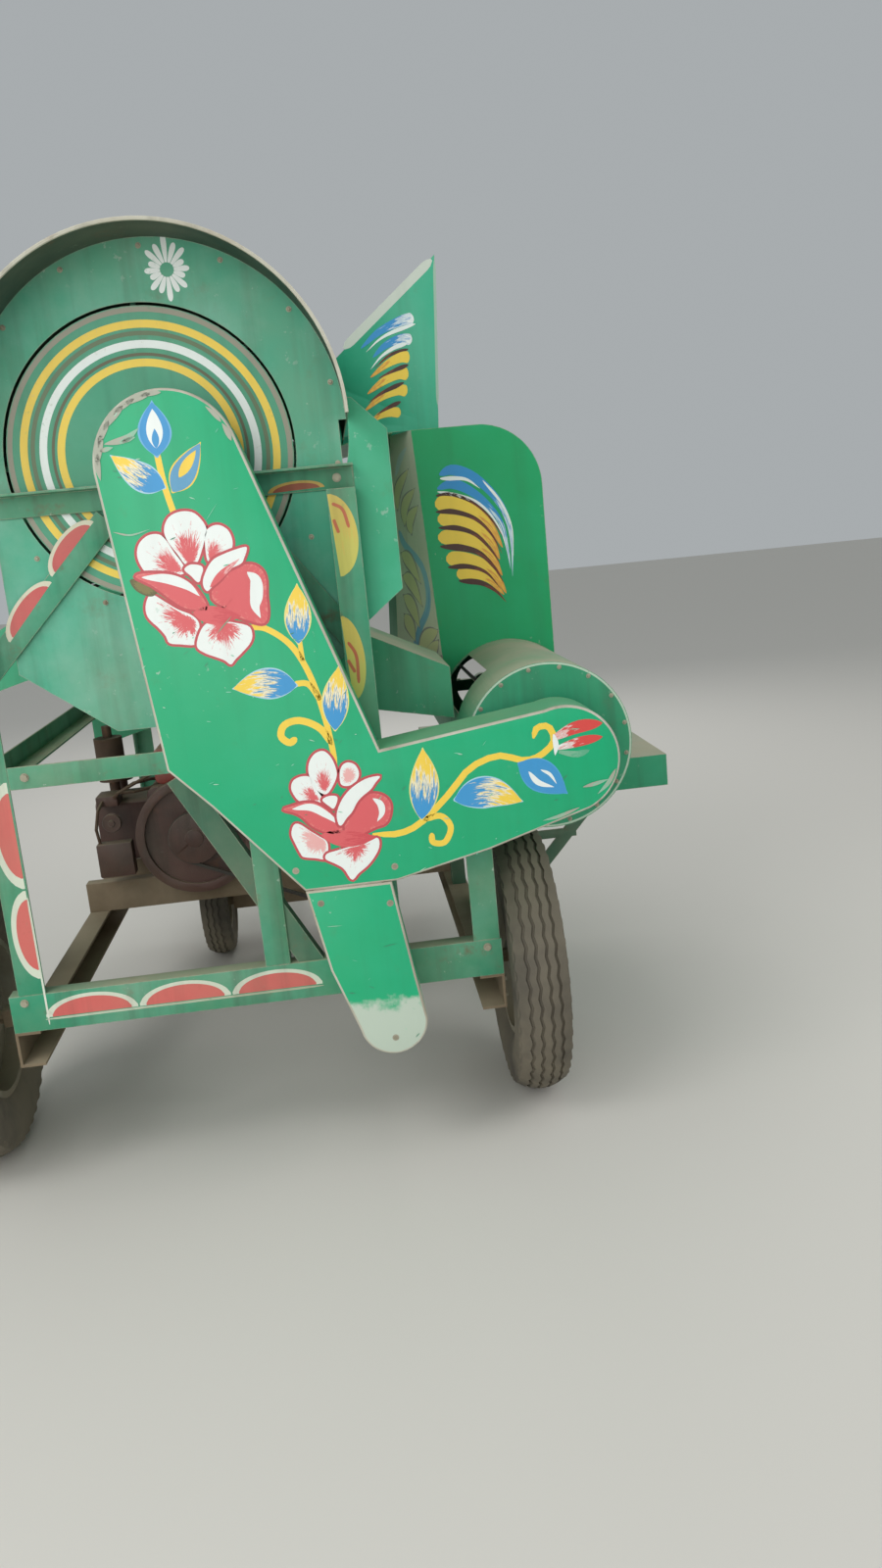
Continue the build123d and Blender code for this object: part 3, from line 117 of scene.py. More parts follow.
WHITE = "#EDF3EE"
CREAM = "#F4E9B4"
YELLOW = "#F6D24A"
YELLOW_EDGE = "#E9E08A"
ORANGE = "#E39A35"
ROSE = "#DC5F63"
ROSE_WARM = "#E2807A"
ROSE_PALE = "#EBB0AC"
ROSE_RIM = "#C24B52"
BLUE = "#3A97D0"
BLUE_DEEP = "#2E8FCB"
BLUE_PALE = "#A9D3E4"
BROWN = "#4A2A22"
MAUVE = "#B9A9A6"


def linear(colour: str) -> tuple[float, float, float, float]:
    """Turns an sRGB hex colour to the linear values that a shader takes.

    Args:
        colour: A colour such as "#14A874".

    Returns:
        Linear red, green, blue and an alpha of 1.
    """
    parts = [int(colour[k:k + 2], 16) / 255 for k in (1, 3, 5)]
    values = [p / 12.92 if p <= 0.04045 else ((p + 0.055) / 1.055) ** 2.4 for p in parts]
    return (values[0], values[1], values[2], 1.0)


def add_node(tree: bpy.types.NodeTree, kind: str, inputs: dict | None = None, **settings) -> bpy.types.Node:
    """Adds one node with its settings, and fills or links its inputs.

    Args:
        tree: The shader or geometry tree that takes the node.
        kind: The node's type.
        inputs: Input names or indices, each with a plain value or a socket to link from.
        settings: Properties of the node itself.

    Returns:
        The new node.
    """
    node = tree.nodes.new(kind)
    for name, value in settings.items():
        setattr(node, name, value)
    for key, value in (inputs or {}).items():
        socket = node.inputs[key]
        if isinstance(value, bpy.types.NodeSocket):
            tree.links.new(value, socket)
        else:
            socket.default_value = value
    return node


@dataclass(frozen=True)
class Finish:
    """A surface that has stood outdoors: its own colour under dust, streaks, chips, worn edges and rust.

    Shares run from 0 to 1. Sizes are metres.
    """

    name: str
    colour: str
    faded: str
    roughness: float = 0.42
    metallic: float = 0.0
    mottle: float = 0.5
    dust: float = 0.45
    film: float = 0.10
    streaks: float = 0.30
    chips: float = 0.35
    chip_colour: str = "#C4CFC4"
    edge: float = 0.7
    edge_colour: str = "#B9AD9B"
    edge_width: float = 0.004
    rust: float = 0.12
    mud_top: float = 0.0
    dust_colour: str = "#B3A68C"
    grime_colour: str = "#2E3328"
    rust_colour: str = "#6B3E24"
    mud_colour: str = "#8A7A62"
    dents: float = 0.6
    grain: float = 0.25
    bare_top: float = 0.0
    from_strokes: bool = False


# Brushed household enamel on sheet steel: glossy where it is wiped, chalky and dusty on top
GUARD_ENAMEL = Finish("guard emerald enamel", "#0BAB74", "#20B685", 0.38, mottle=0.35, dust=0.35, film=0.03,
                      streaks=0.10, chips=0.5, edge=0.95, edge_colour="#C3BCAE", rust=0.05, dents=0.5)
# The same enamel where boots and straw have rubbed it off towards the ground
TAIL_ENAMEL = replace(GUARD_ENAMEL, name="rubbed guard enamel", bare_top=0.53, chips=0.9)
# The drum housing's older coat: greyer, chalked by sun and filmed with chaff dust
HOUSING_ENAMEL = Finish("housing green enamel", "#35946E", "#5BAA8A", 0.5, mottle=0.6, dust=0.5, film=0.13,
                        streaks=0.35, chips=0.4, rust=0.12)
# The end plate, chalked almost to a bloom where rain has run over it
PLATE_ENAMEL = Finish("chalky end plate enamel", "#3FA886", "#6DB79C", 0.55, mottle=0.9, dust=0.5, film=0.22,
                      streaks=0.3, chips=0.4, rust=0.10)
# A newer coat of the same green on the plate between cover and feed box
LINK_ENAMEL = Finish("bright green enamel", "#2BA87C", "#4DB793", 0.45, mottle=0.5, dust=0.4, film=0.06,
                     streaks=0.15, chips=0.4, rust=0.06)
# The feed box, the freshest and most even green on the machine
BOX_ENAMEL = Finish("feed box enamel", "#009F5F", "#12AD74", 0.42, mottle=0.4, dust=0.3, film=0.01,
                    streaks=0.12, chips=0.3, rust=0.05)
# The hood's side, a lighter bluish green that paints the sky's glare on it
HOOD_ENAMEL = Finish("sunlit hood enamel", "#2BAE87", "#52B796", 0.42, mottle=0.5, dust=0.35, film=0.04,
                     streaks=0.15, chips=0.3, rust=0.06)
# Enamel under chaff dust that lies thick on the round top
CASING_ENAMEL = Finish("fan casing enamel", "#26A272", "#45AE85", 0.48, mottle=0.5, dust=0.95, film=0.10,
                       streaks=0.25, chips=0.4, rust=0.10, dust_colour="#BDB39A")
# The fan casing's upright end, where dust can't lie but hands have dulled the coat
CASING_END = Finish("casing end enamel", "#179468", "#2C9F75", 0.5, mottle=0.6, dust=0.5, film=0.06,
                    streaks=0.3, chips=0.3, rust=0.08)
# Green on brackets under the machine, where mud and oil have darkened it
BRACKET_ENAMEL = Finish("grimy bracket enamel", "#2C6A50", "#4A6B54", 0.6, mottle=0.8, dust=0.6, film=0.25,
                        streaks=0.5, chips=0.3, rust=0.3)
# Green on angle steel that is chipped all over and rubbed bare on every edge, with rust between
FRAME_ENAMEL = Finish("frame green enamel", "#27906A", "#58A386", 0.5, mottle=0.7, dust=0.8, film=0.26,
                      streaks=0.45, chips=0.8, edge=0.95, rust=0.28)
# The drum's disc and bars, one greyish coat with little wear
DRUM_ENAMEL = Finish("drum green enamel", "#3A9C78", "#57A98B", 0.45, mottle=0.5, dust=0.4, film=0.12,
                     streaks=0.2, chips=0.4, rust=0.1)
# The loading board's top, trodden to a pale grey-green
DECK_ENAMEL = Finish("worn deck enamel", "#9DB09C", "#7FA68E", 0.6, mottle=0.9, dust=0.8, film=0.3,
                     streaks=0.2, chips=0.6, rust=0.2)
# Old red-lead primer under road mud: no gloss, brown, with dried splashes low down
CHASSIS_PRIMER = Finish("muddy chassis primer", "#66553F", "#7C6C55", 0.8, mottle=0.8, dust=0.7, film=0.35,
                        streaks=0.3, chips=0.3, chip_colour="#43342A", edge=0.4, edge_colour="#8B7B66",
                        rust=0.35, mud_top=0.6)
# Turned steel that belts and bearings keep bright, with a brown bloom between
BARE_STEEL = Finish("oiled turned steel", "#8B877F", "#6E675D", 0.38, metallic=1.0, mottle=0.8, dust=0.3,
                    film=0.12, streaks=0.2, chips=0.0, edge=0.5, edge_colour="#B8B4AC", rust=0.4, dents=0.0)
# Cut bolt heads that went grey and brown after the paint was brushed round them
BOLT_STEEL = Finish("weathered bolt heads", "#A8A48F", "#7E7866", 0.55, metallic=0.5, mottle=0.9, dust=0.5,
                    film=0.2, streaks=0.0, chips=0.0, edge=0.5, edge_colour="#CFCBBB", edge_width=0.0015,
                    rust=0.35, dents=0.0)
# Grey iron castings: sand-cast grain, brushed dark red, black with oil and dust
CAST_ENGINE = Finish("oily red cast iron", "#47231C", "#30211C", 0.5, mottle=0.9, dust=0.35, film=0.12,
                     streaks=0.7, chips=0.3, chip_colour="#5E5A55", edge_colour="#6B625A", rust=0.3,
                     dents=0.3, grain=0.9, grime_colour="#1E1A17")
# Sprayed red on the fuel tank, dulled by dust with dark oily streaks
TANK_ENAMEL = Finish("red tank enamel", "#8E3029", "#7C332A", 0.38, mottle=0.5, dust=0.6, film=0.15,
                     streaks=0.5, chips=0.4, rust=0.2, dents=0.3, grime_colour="#2A1F1A")
# Pressed steel pipe that heat has burnt to brown scale
EXHAUST_SCALE = Finish("scaled exhaust pipe", "#5A4334", "#3E322B", 0.75, metallic=0.6, mottle=0.9, dust=0.3,
                       streaks=0.2, chips=0.0, edge=0.2, rust=0.7, dents=0.1, grain=0.5)
# Grey wheel enamel under road dust, rusty in patches and muddy low down
WHEEL_ENAMEL = Finish("wheel enamel", "#8E8F80", "#77705F", 0.6, mottle=0.7, dust=0.5, film=0.3, streaks=0.2,
                      chips=0.5, chip_colour="#6B4A36", edge=0.5, rust=0.35, mud_top=0.5)
# Vulcanised rubber, greyed by sun and dried mud
TYRE_RUBBER = Finish("weathered tyre rubber", "#3F3C37", "#524D45", 0.85, mottle=0.7, dust=0.4, film=0.2,
                     streaks=0.0, chips=0.0, edge=0.35, edge_colour="#6C665C", edge_width=0.003, rust=0.0,
                     mud_top=0.85, mud_colour="#857C69", dents=0.0, grain=0.6)
# Black belts, matt and a little dusty
BELT_RUBBER = Finish("black belt rubber", "#1E1D1C", "#2B2927", 0.7, mottle=0.3, dust=0.2, film=0.1,
                     streaks=0.0, chips=0.0, edge=0.3, edge_colour="#4A4641", rust=0.0, dents=0.0)
# Sheet edge that hands and ropes have worn through to pale primer
WORN_RIM = Finish("bare worn sheet edge", "#C6C6B6", "#A9A08D", 0.6, mottle=0.9, dust=0.4, film=0.2,
                  streaks=0.3, chips=0.6, chip_colour="#2C9A70", edge=0.3, rust=0.25, dents=0.2)
# A wall painted pale cream as painted sunlight and sky glare; a stem is painted over it
GLARE_CREAM_ENAMEL = Finish("cream enamel", "#F2ECD4", "#E2DCC4", 0.45, mottle=0.3, dust=0.3, film=0.05,
                     streaks=0.15, chips=0.15, edge=0.4, rust=0.03)
# The inside of the sheets and their undersides, painted dark green as the shade that falls there, with fine
# dust over it
PAINTED_SHADE_SHEET = Finish("inner sheet with painted shade", "#24453A", "#34504A", 0.8, mottle=0.6, dust=0.5, film=0.2,
                     streaks=0.3, chips=0.1, edge=0.5, rust=0.3)
# Ornament on bars that loads and ropes rub: the same paint, chalky and scuffed
SCUFFED_PAINT = Finish("scuffed ornament paint", WHITE, WHITE, 0.55, mottle=0.0, dust=0.6, film=0.22,
                       streaks=0.25, chips=0.8, chip_colour="#3B8C6B", edge=0.0, rust=0.12, dents=0.3,
                       from_strokes=True)
# The flowers' gloss paint, thick and bright, with each bristle's streak
BRUSH_PAINT = Finish("brushed ornament paint", WHITE, WHITE, 0.40, mottle=0.0, dust=0.25, film=0.03,
                     streaks=0.06, chips=0.35, chip_colour="#1A9B6C", edge=0.0, rust=0.0, dents=0.5,
                     from_strokes=True)


class Shader:
    """An empty material's node tree, with short ways to add what the finishes repeat."""

    def __init__(self, name: str) -> None:
        """Makes the material.

        Args:
            name: Its name.
        """
        self.material = bpy.data.materials.new(name)
        self.material.use_nodes = True
        self.tree = self.material.node_tree
        self.tree.nodes.clear()
        place = add_node(self.tree, "ShaderNodeTexCoord")
        self.here = place.outputs["Object"]
        self.normal = place.outputs["Normal"]

    def add(self, kind: str, inputs: dict | None = None, output: int | str = 0, **settings) -> Socket:
        """Adds a node and gives one of its outputs."""
        return add_node(self.tree, kind, inputs, **settings).outputs[output]

    def math(self, operation: str, *values: Socket | float) -> Socket:
        """A sum of plain numbers."""
        return self.add("ShaderNodeMath", dict(enumerate(values)), operation=operation)

    def vector(self, operation: str, left: Socket, right: Socket | Corner, output: int | str = 0) -> Socket:
        """A sum of two vectors."""
        return self.add("ShaderNodeVectorMath", {0: left, 1: right}, output, operation=operation)

    def height(self, vector: Socket) -> Socket:
        """The upright part of a vector."""
        return self.add("ShaderNodeSeparateXYZ", {0: vector}, 2)

    def noise(self, at: Socket, scale: float, detail: float, rough: float = 0.5) -> Socket:
        """Cloudy shares about a half."""
        return self.add("ShaderNodeTexNoise", {"Vector": at, "Scale": scale, "Detail": detail,
                                               "Roughness": rough})

    def ramp(self, value: Socket, low: float, high: float, most: float = 1.0, least: float = 0.0,
             **settings) -> Socket:
        """Turns a value to another scale and holds it there.

        Args:
            value: What is measured.
            low: Where it gives the least.
            high: Where it gives the most.
            most: The result at high.
            least: The result at low.
            settings: Properties of the node itself.

        Returns:
            The result.
        """
        scale = {"Value": value, "From Min": low, "From Max": high, "To Min": least, "To Max": most}
        return self.add("ShaderNodeMapRange", scale, clamp=True, **settings)

    def mix(self, share: Socket, under: Socket | tuple, over: Socket | tuple) -> Socket:
        """One colour laid over another by a share."""
        return self.add("ShaderNodeMix", {0: share, 6: under, 7: over}, 2, data_type="RGBA")


class FinishLibrary:
    """Builds each finish once and hands out its material."""

    def __init__(self) -> None:
        """Starts with no materials made."""
        self._made: dict[str, bpy.types.Material] = {}

    def get(self, finish: Finish) -> bpy.types.Material:
        """Gives the material of a finish, and builds it on first use.

        Args:
            finish: What the surface is and how worn it is.

        Returns:
            Its one material.
        """
        if finish.name not in self._made:
            self._made[finish.name] = self._build(finish)
        return self._made[finish.name]

    def _build(self, finish: Finish) -> bpy.types.Material:
        """Makes the node tree of one finish.

        Args:
            finish: What the surface is and how worn it is.

        Returns:
            The finished material.
        """
        shader = Shader(finish.name)
        colour = self._stroke_colour(shader) if finish.from_strokes else self._ground(shader, finish)
        covered = None
        for share, cover in self._wear(shader, finish):
            colour = shader.mix(share, colour, linear(cover))
            covered = share if covered is None else shader.math("MAXIMUM", covered, share)
        inputs = {"Base Color": colour, "IOR": 1.5, "Normal": self._relief(shader, finish),
                  "Roughness": shader.ramp(covered, 0.0, 1.0, 0.88, finish.roughness)}
        if finish.metallic > 0:
            inputs["Metallic"] = shader.ramp(covered, 0.0, 1.0, 0.0, finish.metallic)
        surface = shader.add("ShaderNodeBsdfPrincipled", inputs)
        add_node(shader.tree, "ShaderNodeOutputMaterial", {"Surface": surface}, target="ALL")
        return shader.material

    def _ground(self, shader: Shader, finish: Finish) -> Socket:
        """The clean colour, patchy with age.

        Args:
            shader: The material's tree.
            finish: What the surface is.

        Returns:
            The colour below all wear.
        """
        patches = shader.noise(shader.here, 4.5, 6.0, 0.6)
        return shader.mix(shader.ramp(patches, 0.42, 0.66, finish.mottle), linear(finish.colour),
                          linear(finish.faded))

    def _stroke_colour(self, shader: Shader) -> Socket:
        """Root colour running into tip colour along a stroke, with the brush's own streaks.

        Args:
            shader: The material's tree, on a mesh that carries the strokes' paints and coordinates.

        Returns:
            The paint's colour, with a white fringe where root and tip differ.
        """
        root = shader.add("ShaderNodeAttribute", attribute_name="root_paint")
        tip = shader.add("ShaderNodeAttribute", attribute_name="tip_paint")
        stroke = shader.add("ShaderNodeUVMap", uv_map="stroke")
        along = shader.add("ShaderNodeSeparateXYZ", {0: stroke})
        bristles = shader.noise(shader.vector("MULTIPLY", stroke, (1.6, 1.0, 0.0)), 2.2, 3.0, 0.7)
        reach = shader.math("ADD", along, shader.math("MULTIPLY_ADD", bristles, 1.7, -0.85))
        body = shader.mix(shader.ramp(reach, 0.40, 0.60, interpolation_type="SMOOTHSTEP"), root, tip)
        fringe = shader.math("MULTIPLY", shader.ramp(reach, 0.46, 0.58), shader.ramp(reach, 0.74, 0.60))
        apart = shader.ramp(shader.vector("DISTANCE", root, tip, "Value"), 0.35, 0.55, 0.75)
        return shader.mix(shader.math("MULTIPLY", fringe, apart), body, linear(WHITE))

    def _wear(self, shader: Shader, finish: Finish) -> list[tuple[Socket, str]]:
        """The covering layers of a finish, lowest first.

        Args:
            shader: The material's tree.
            finish: What the surface is.

        Returns:
            Pairs of a share and a hex colour.
        """
        here = shader.here
        coarse = shader.noise(here, 2.7, 5.0, 0.62)
        fine = shader.noise(here, 46.0, 4.0, 0.6)
        layers = []
        if finish.streaks > 0:
            runs = shader.noise(shader.vector("MULTIPLY", here, (19.0, 19.0, 1.3)), 1.0, 5.0, 0.55)
            layers.append((shader.ramp(runs, 0.50, 0.72, finish.streaks), finish.grime_colour))
        if finish.rust > 0:
            spots = shader.noise(here, 11.0, 8.0, 0.7)
            layers.append((shader.ramp(spots, 0.60, 0.72, min(1.0, finish.rust * 2.2)), finish.rust_colour))
        if finish.chips > 0:
            flecks = shader.ramp(fine, 0.655, 0.69)
            patch = shader.ramp(coarse, 0.50, 0.62, finish.chips)
            layers.append((shader.math("MULTIPLY", flecks, patch), finish.chip_colour))
        if finish.edge > 0:
            soft = shader.add("ShaderNodeBevel", {"Radius": finish.edge_width}, samples=4)
            true = shader.add("ShaderNodeNewGeometry", output="Normal")
            bare = shader.ramp(shader.vector("DOT_PRODUCT", soft, true, "Value"), 0.995, 0.90)
            ragged = shader.ramp(fine, 0.36, 0.56, finish.edge)
            layers.append((shader.math("MULTIPLY", bare, ragged), finish.edge_colour))
        level = shader.ramp(shader.height(shader.normal), 0.25, 0.95, finish.dust)
        lying = shader.math("MULTIPLY", level, shader.ramp(coarse, 0.3, 0.6, least=0.5))
        film = shader.ramp(coarse, 0.35, 0.70, finish.film)
        layers.append((shader.math("MAXIMUM", lying, film), finish.dust_colour))
        if finish.bare_top > 0:
            low = shader.ramp(shader.height(here), finish.bare_top, finish.bare_top - 0.12)
            reach = shader.math("ADD", low, shader.noise(here, 17.0, 6.0, 0.65))
            layers.append((shader.ramp(reach, 0.95, 1.15, 0.85), "#CDD3C6"))
        if finish.mud_top > 0:
            low = shader.ramp(shader.height(here), finish.mud_top, 0.0, 0.9)
            splash = shader.ramp(coarse, 0.30, 0.62)
            layers.append((shader.math("MULTIPLY", low, splash), finish.mud_colour))
        return layers

    def _relief(self, shader: Shader, finish: Finish) -> Socket:
        """Dents a hand wide and the grain of the surface, as one bump.

        Args:
            shader: The material's tree.
            finish: What the surface is.

        Returns:
            The bumped normal.
        """
        dents = shader.add("ShaderNodeBump", {"Strength": 0.5 * finish.dents, "Distance": 0.02,
                                              "Height": shader.noise(shader.here, 3.4, 2.0)})
        return shader.add("ShaderNodeBump", {"Strength": finish.grain, "Distance": 0.0006, "Normal": dents,
                                             "Height": shader.noise(shader.here, 240.0, 3.0)})


FINISHES = FinishLibrary()


class Slot(Enum):
    """The record's material slots, which castings and heads keep beside their finish."""

    GUARD = "guard_paint"
    HOUSING = "housing_paint"
    HOOD = "hood_paint"
    FRAME = "frame_paint"
    CHASSIS = "chassis_paint"
    DECK = "deck_plate"
    STEEL = "bare_steel"
    DRUM = "drum_paint"
    BELT = "belt_rubber"
    ENGINE = "engine_paint"
    TANK = "tank_paint"
    EXHAUST = "exhaust_steel"
    WHEEL = "wheel_paint"
    TYRE = "tyre_rubber"


def make_object(name: str, mesh: bpy.types.Mesh, finishes: list[Finish], body: str) -> Piece:
    """Puts a finished mesh in the scene, painted and riding on its body.

    Args:
        name: The piece's name.
        mesh: Its mesh, already in place.
        finishes: Its surfaces, in the order of its faces' material indices.
        body: The CAD body that it moves with.

    Returns:
        The new object.
    """
    piece = bpy.data.objects.new(name, mesh)
    bpy.context.scene.collection.objects.link(piece)
    for finish in finishes:
        mesh.materials.append(FINISHES.get(finish))
    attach(piece, body)
    return piece


def shade_by_angle(mesh: bpy.types.Mesh, degrees: float = 34.0) -> None:
    """Smooths a mesh, with sharp edges where its faces turn by more than an angle.

    Args:
        mesh: The mesh.
        degrees: The angle.
    """
    for polygon in mesh.polygons:
        polygon.use_smooth = True
    mesh.set_sharp_from_angle(angle=math.radians(degrees))


def round_edges(shape: Shape, edges: list[bmesh.types.BMEdge], radius: float,
                segments: int = 2) -> None:
    """Rounds some edges of an open bmesh.

    Args:
        shape: The bmesh.
        edges: The edges.
        radius: How far each round reaches.
        segments: Steps in each round.
    """
    bmesh.ops.bevel(shape, geom=edges, offset=radius, offset_type="OFFSET", segments=segments, profile=0.5,
                    affect="EDGES", clamp_overlap=True)


def merged_copy(node: str, edge_round: float = 0.0) -> Shape:
    """Copies a node's loose triangles, joins them and rounds the sharp edges.

    Args:
        node: The CAD node.
        edge_round: The radius that its folds get, or 0.

    Returns:
        An open bmesh in the machine's frame.
    """
    shape = bmesh.new()
    shape.from_mesh(frame["nodes"][node].data)
    bmesh.ops.remove_doubles(shape, verts=shape.verts, dist=JOIN)
    bmesh.ops.dissolve_limit(shape, angle_limit=FLAT, verts=shape.verts, edges=shape.edges)
    if edge_round > 0:
        sharp = [e for e in shape.edges if e.is_manifold and e.is_convex and e.calc_face_angle() > SHARP]
        round_edges(shape, sharp, edge_round)
    return shape


def finish_mesh(shape: Shape, name: str) -> bpy.types.Mesh:
    """Closes a bmesh into a mesh that is smooth by angle.

    Args:
        shape: The open bmesh.
        name: The mesh's name.

    Returns:
        The mesh.
    """
    mesh = bpy.data.meshes.new(name)
    shape.to_mesh(mesh)
    shape.free()
    shade_by_angle(mesh)
    return mesh


def angles(count: int) -> list[float]:
    """Even angles round a circle, in radians."""
    return [2 * math.pi * k / count for k in range(count)]


def spoke(angle: float) -> Vector:
    """The direction at an angle in radians, from +X towards +Z."""
    return Vector((math.cos(angle), 0, math.sin(angle)))


def circle(middle: Vector, side: Vector, other: Vector, radius: float, steps: int) -> list[Vector]:
    """Points of a circle that two directions span."""
    return [middle + (side * math.cos(a) + other * math.sin(a)) * radius for a in angles(steps)]


@dataclass(frozen=True)
class Area:
    """Faces of a dressed copy that wear another finish."""

    finish: Finish
    holds: Callable[[bmesh.types.BMFace], bool]


def mark_areas(shape: Shape, areas: tuple[Area, ...]) -> None:
    """Gives each face the material index of the first area that holds it, or 0.

    Args:
        shape: The open bmesh.
        areas: The areas, whose finishes follow the main one.
    """
    shape.normal_update()
    for face in shape.faces:
        face.material_index = next((k + 1 for k, area in enumerate(areas) if area.holds(face)), 0)


def dress_copy(node: str, name: str, finish: Finish, edge_round: float = 0.0,
               areas: tuple[Area, ...] = ()) -> Piece:
    """Replaces a node by a smooth copy of itself.

    Args:
        node: The CAD node.
        name: The copy's name.
        finish: Its surface.
        edge_round: The radius that its folds get, or 0.
        areas: Parts of it with a surface of their own.

    Returns:
        The copy.
    """
    body = body_of(frame["nodes"][node])[0]
    shape = merged_copy(node, edge_round)
    mark_areas(shape, areas)
    piece = make_object(name, finish_mesh(shape, name), [finish, *(a.finish for a in areas)], body)
    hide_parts(node)
    return piece


class Sheet:
    """The outside of some CAD nodes, for seating what is fixed or painted on them."""

    def __init__(self, *nodes: str) -> None:
        """Takes the nodes' meshes into one search tree.

        Args:
            nodes: Names of CAD nodes.
        """
        shape = bmesh.new()
        for node in nodes:
            shape.from_mesh(frame["nodes"][node].data)
        self.tree = BVHTree.FromBMesh(shape)
        shape.free()

    def seat(self, origin: Vector, direction: Vector, reach: float = 0.5) -> tuple[Vector, Vector] | None:
        """Finds where a line meets the sheet.

        Args:
            origin: The line's start.
            direction: Where it goes.
            reach: How far it may go.

        Returns:
            The point and the direction that the face looks to, or None where the line misses.
        """
        spot, normal, _, _ = self.tree.ray_cast(origin, direction, reach)
        if spot is None:
            return None
        return spot, normal if normal.dot(direction) < 0 else -normal


@dataclass
class Casting:
    """Turned forms, boxes, tubes and bands that become one piece on one body."""

    name: str
    body: str
    finish: Finish
    slot: Slot
    shape: Shape = field(default_factory=bmesh.new)

    def rings(self, rings: list[list[Vector]], closed: bool = False) -> None:
        """Joins rings of points by faces, and caps or closes their ends.

        Args:
            rings: Rings of equally many points each, or of one point at a pole.
            closed: Whether the last ring joins the first.
        """
        rows = [[self.shape.verts.new(p) for p in ring] for ring in rings]
        pairs = list(zip(rows, rows[1:])) + ([(rows[-1], rows[0])] if closed else [])
        for low, high in pairs:
            count = max(len(low), len(high))
            for k in range(count):
                n = (k + 1) % count
                if len(low) == 1:
                    self.shape.faces.new((low[0], high[n], high[k]))
                elif len(high) == 1:
                    self.shape.faces.new((low[k], low[n], high[0]))
                else:
                    self.shape.faces.new((low[k], low[n], high[n], high[k]))
        if not closed:
            for row in (rows[0], rows[-1]):
                if len(row) > 2:
                    self.shape.faces.new(row)

    def turn(self, profile: list[Point], centre: Vector, axis: Vector, steps: int = 24) -> None:
        """Adds a turned form.

        Args:
            profile: Places along the axis with their radii, 0 at a pole.
            centre: The axis's origin.
            axis: Its direction, of length 1.
            steps: Sides of the form.
        """
        side = axis.orthogonal().normalized()
        other = axis.cross(side)
        self.rings([circle(centre + axis * along, side, other, radius, steps) if radius > 0
                    else [centre + axis * along] for along, radius in profile])

    def box(self, low: Corner, high: Corner, edge_round: float) -> None:
        """Adds a box with rounded edges.

        Args:
            low: Its low corner.
            high: Its high corner.
            edge_round: The radius of its edges.
        """
        middle = (Vector(low) + Vector(high)) / 2
        size = Vector(high) - Vector(low)
        matrix = Matrix.Translation(middle) @ Matrix.Diagonal((*size, 1.0))
        made = bmesh.ops.create_cube(self.shape, size=1.0, matrix=matrix)
        round_edges(self.shape, list({e for v in made["verts"] for e in v.link_edges}), edge_round)

    def tube(self, path: list[Vector], radius: float, sides: int = 6) -> None:
        """Adds a round rod along a path.

        Args:
            path: Points of its middle line.
            radius: Its own radius.
            sides: Its sides.
        """
        rings = []
        side = (path[1] - path[0]).orthogonal().normalized()
        for k, point in enumerate(path):
            ahead = (path[min(k + 1, len(path) - 1)] - path[max(k - 1, 0)]).normalized()
            side = (side - ahead * side.dot(ahead)).normalized()
            rings.append(circle(point, side, ahead.cross(side), radius, sides))
        self.rings(rings)

    def build(self) -> Piece:
        """Closes the piece and returns it."""
        bmesh.ops.recalc_face_normals(self.shape, faces=self.shape.faces)
        return make_object(self.name, finish_mesh(self.shape, self.name), [self.finish], self.body)


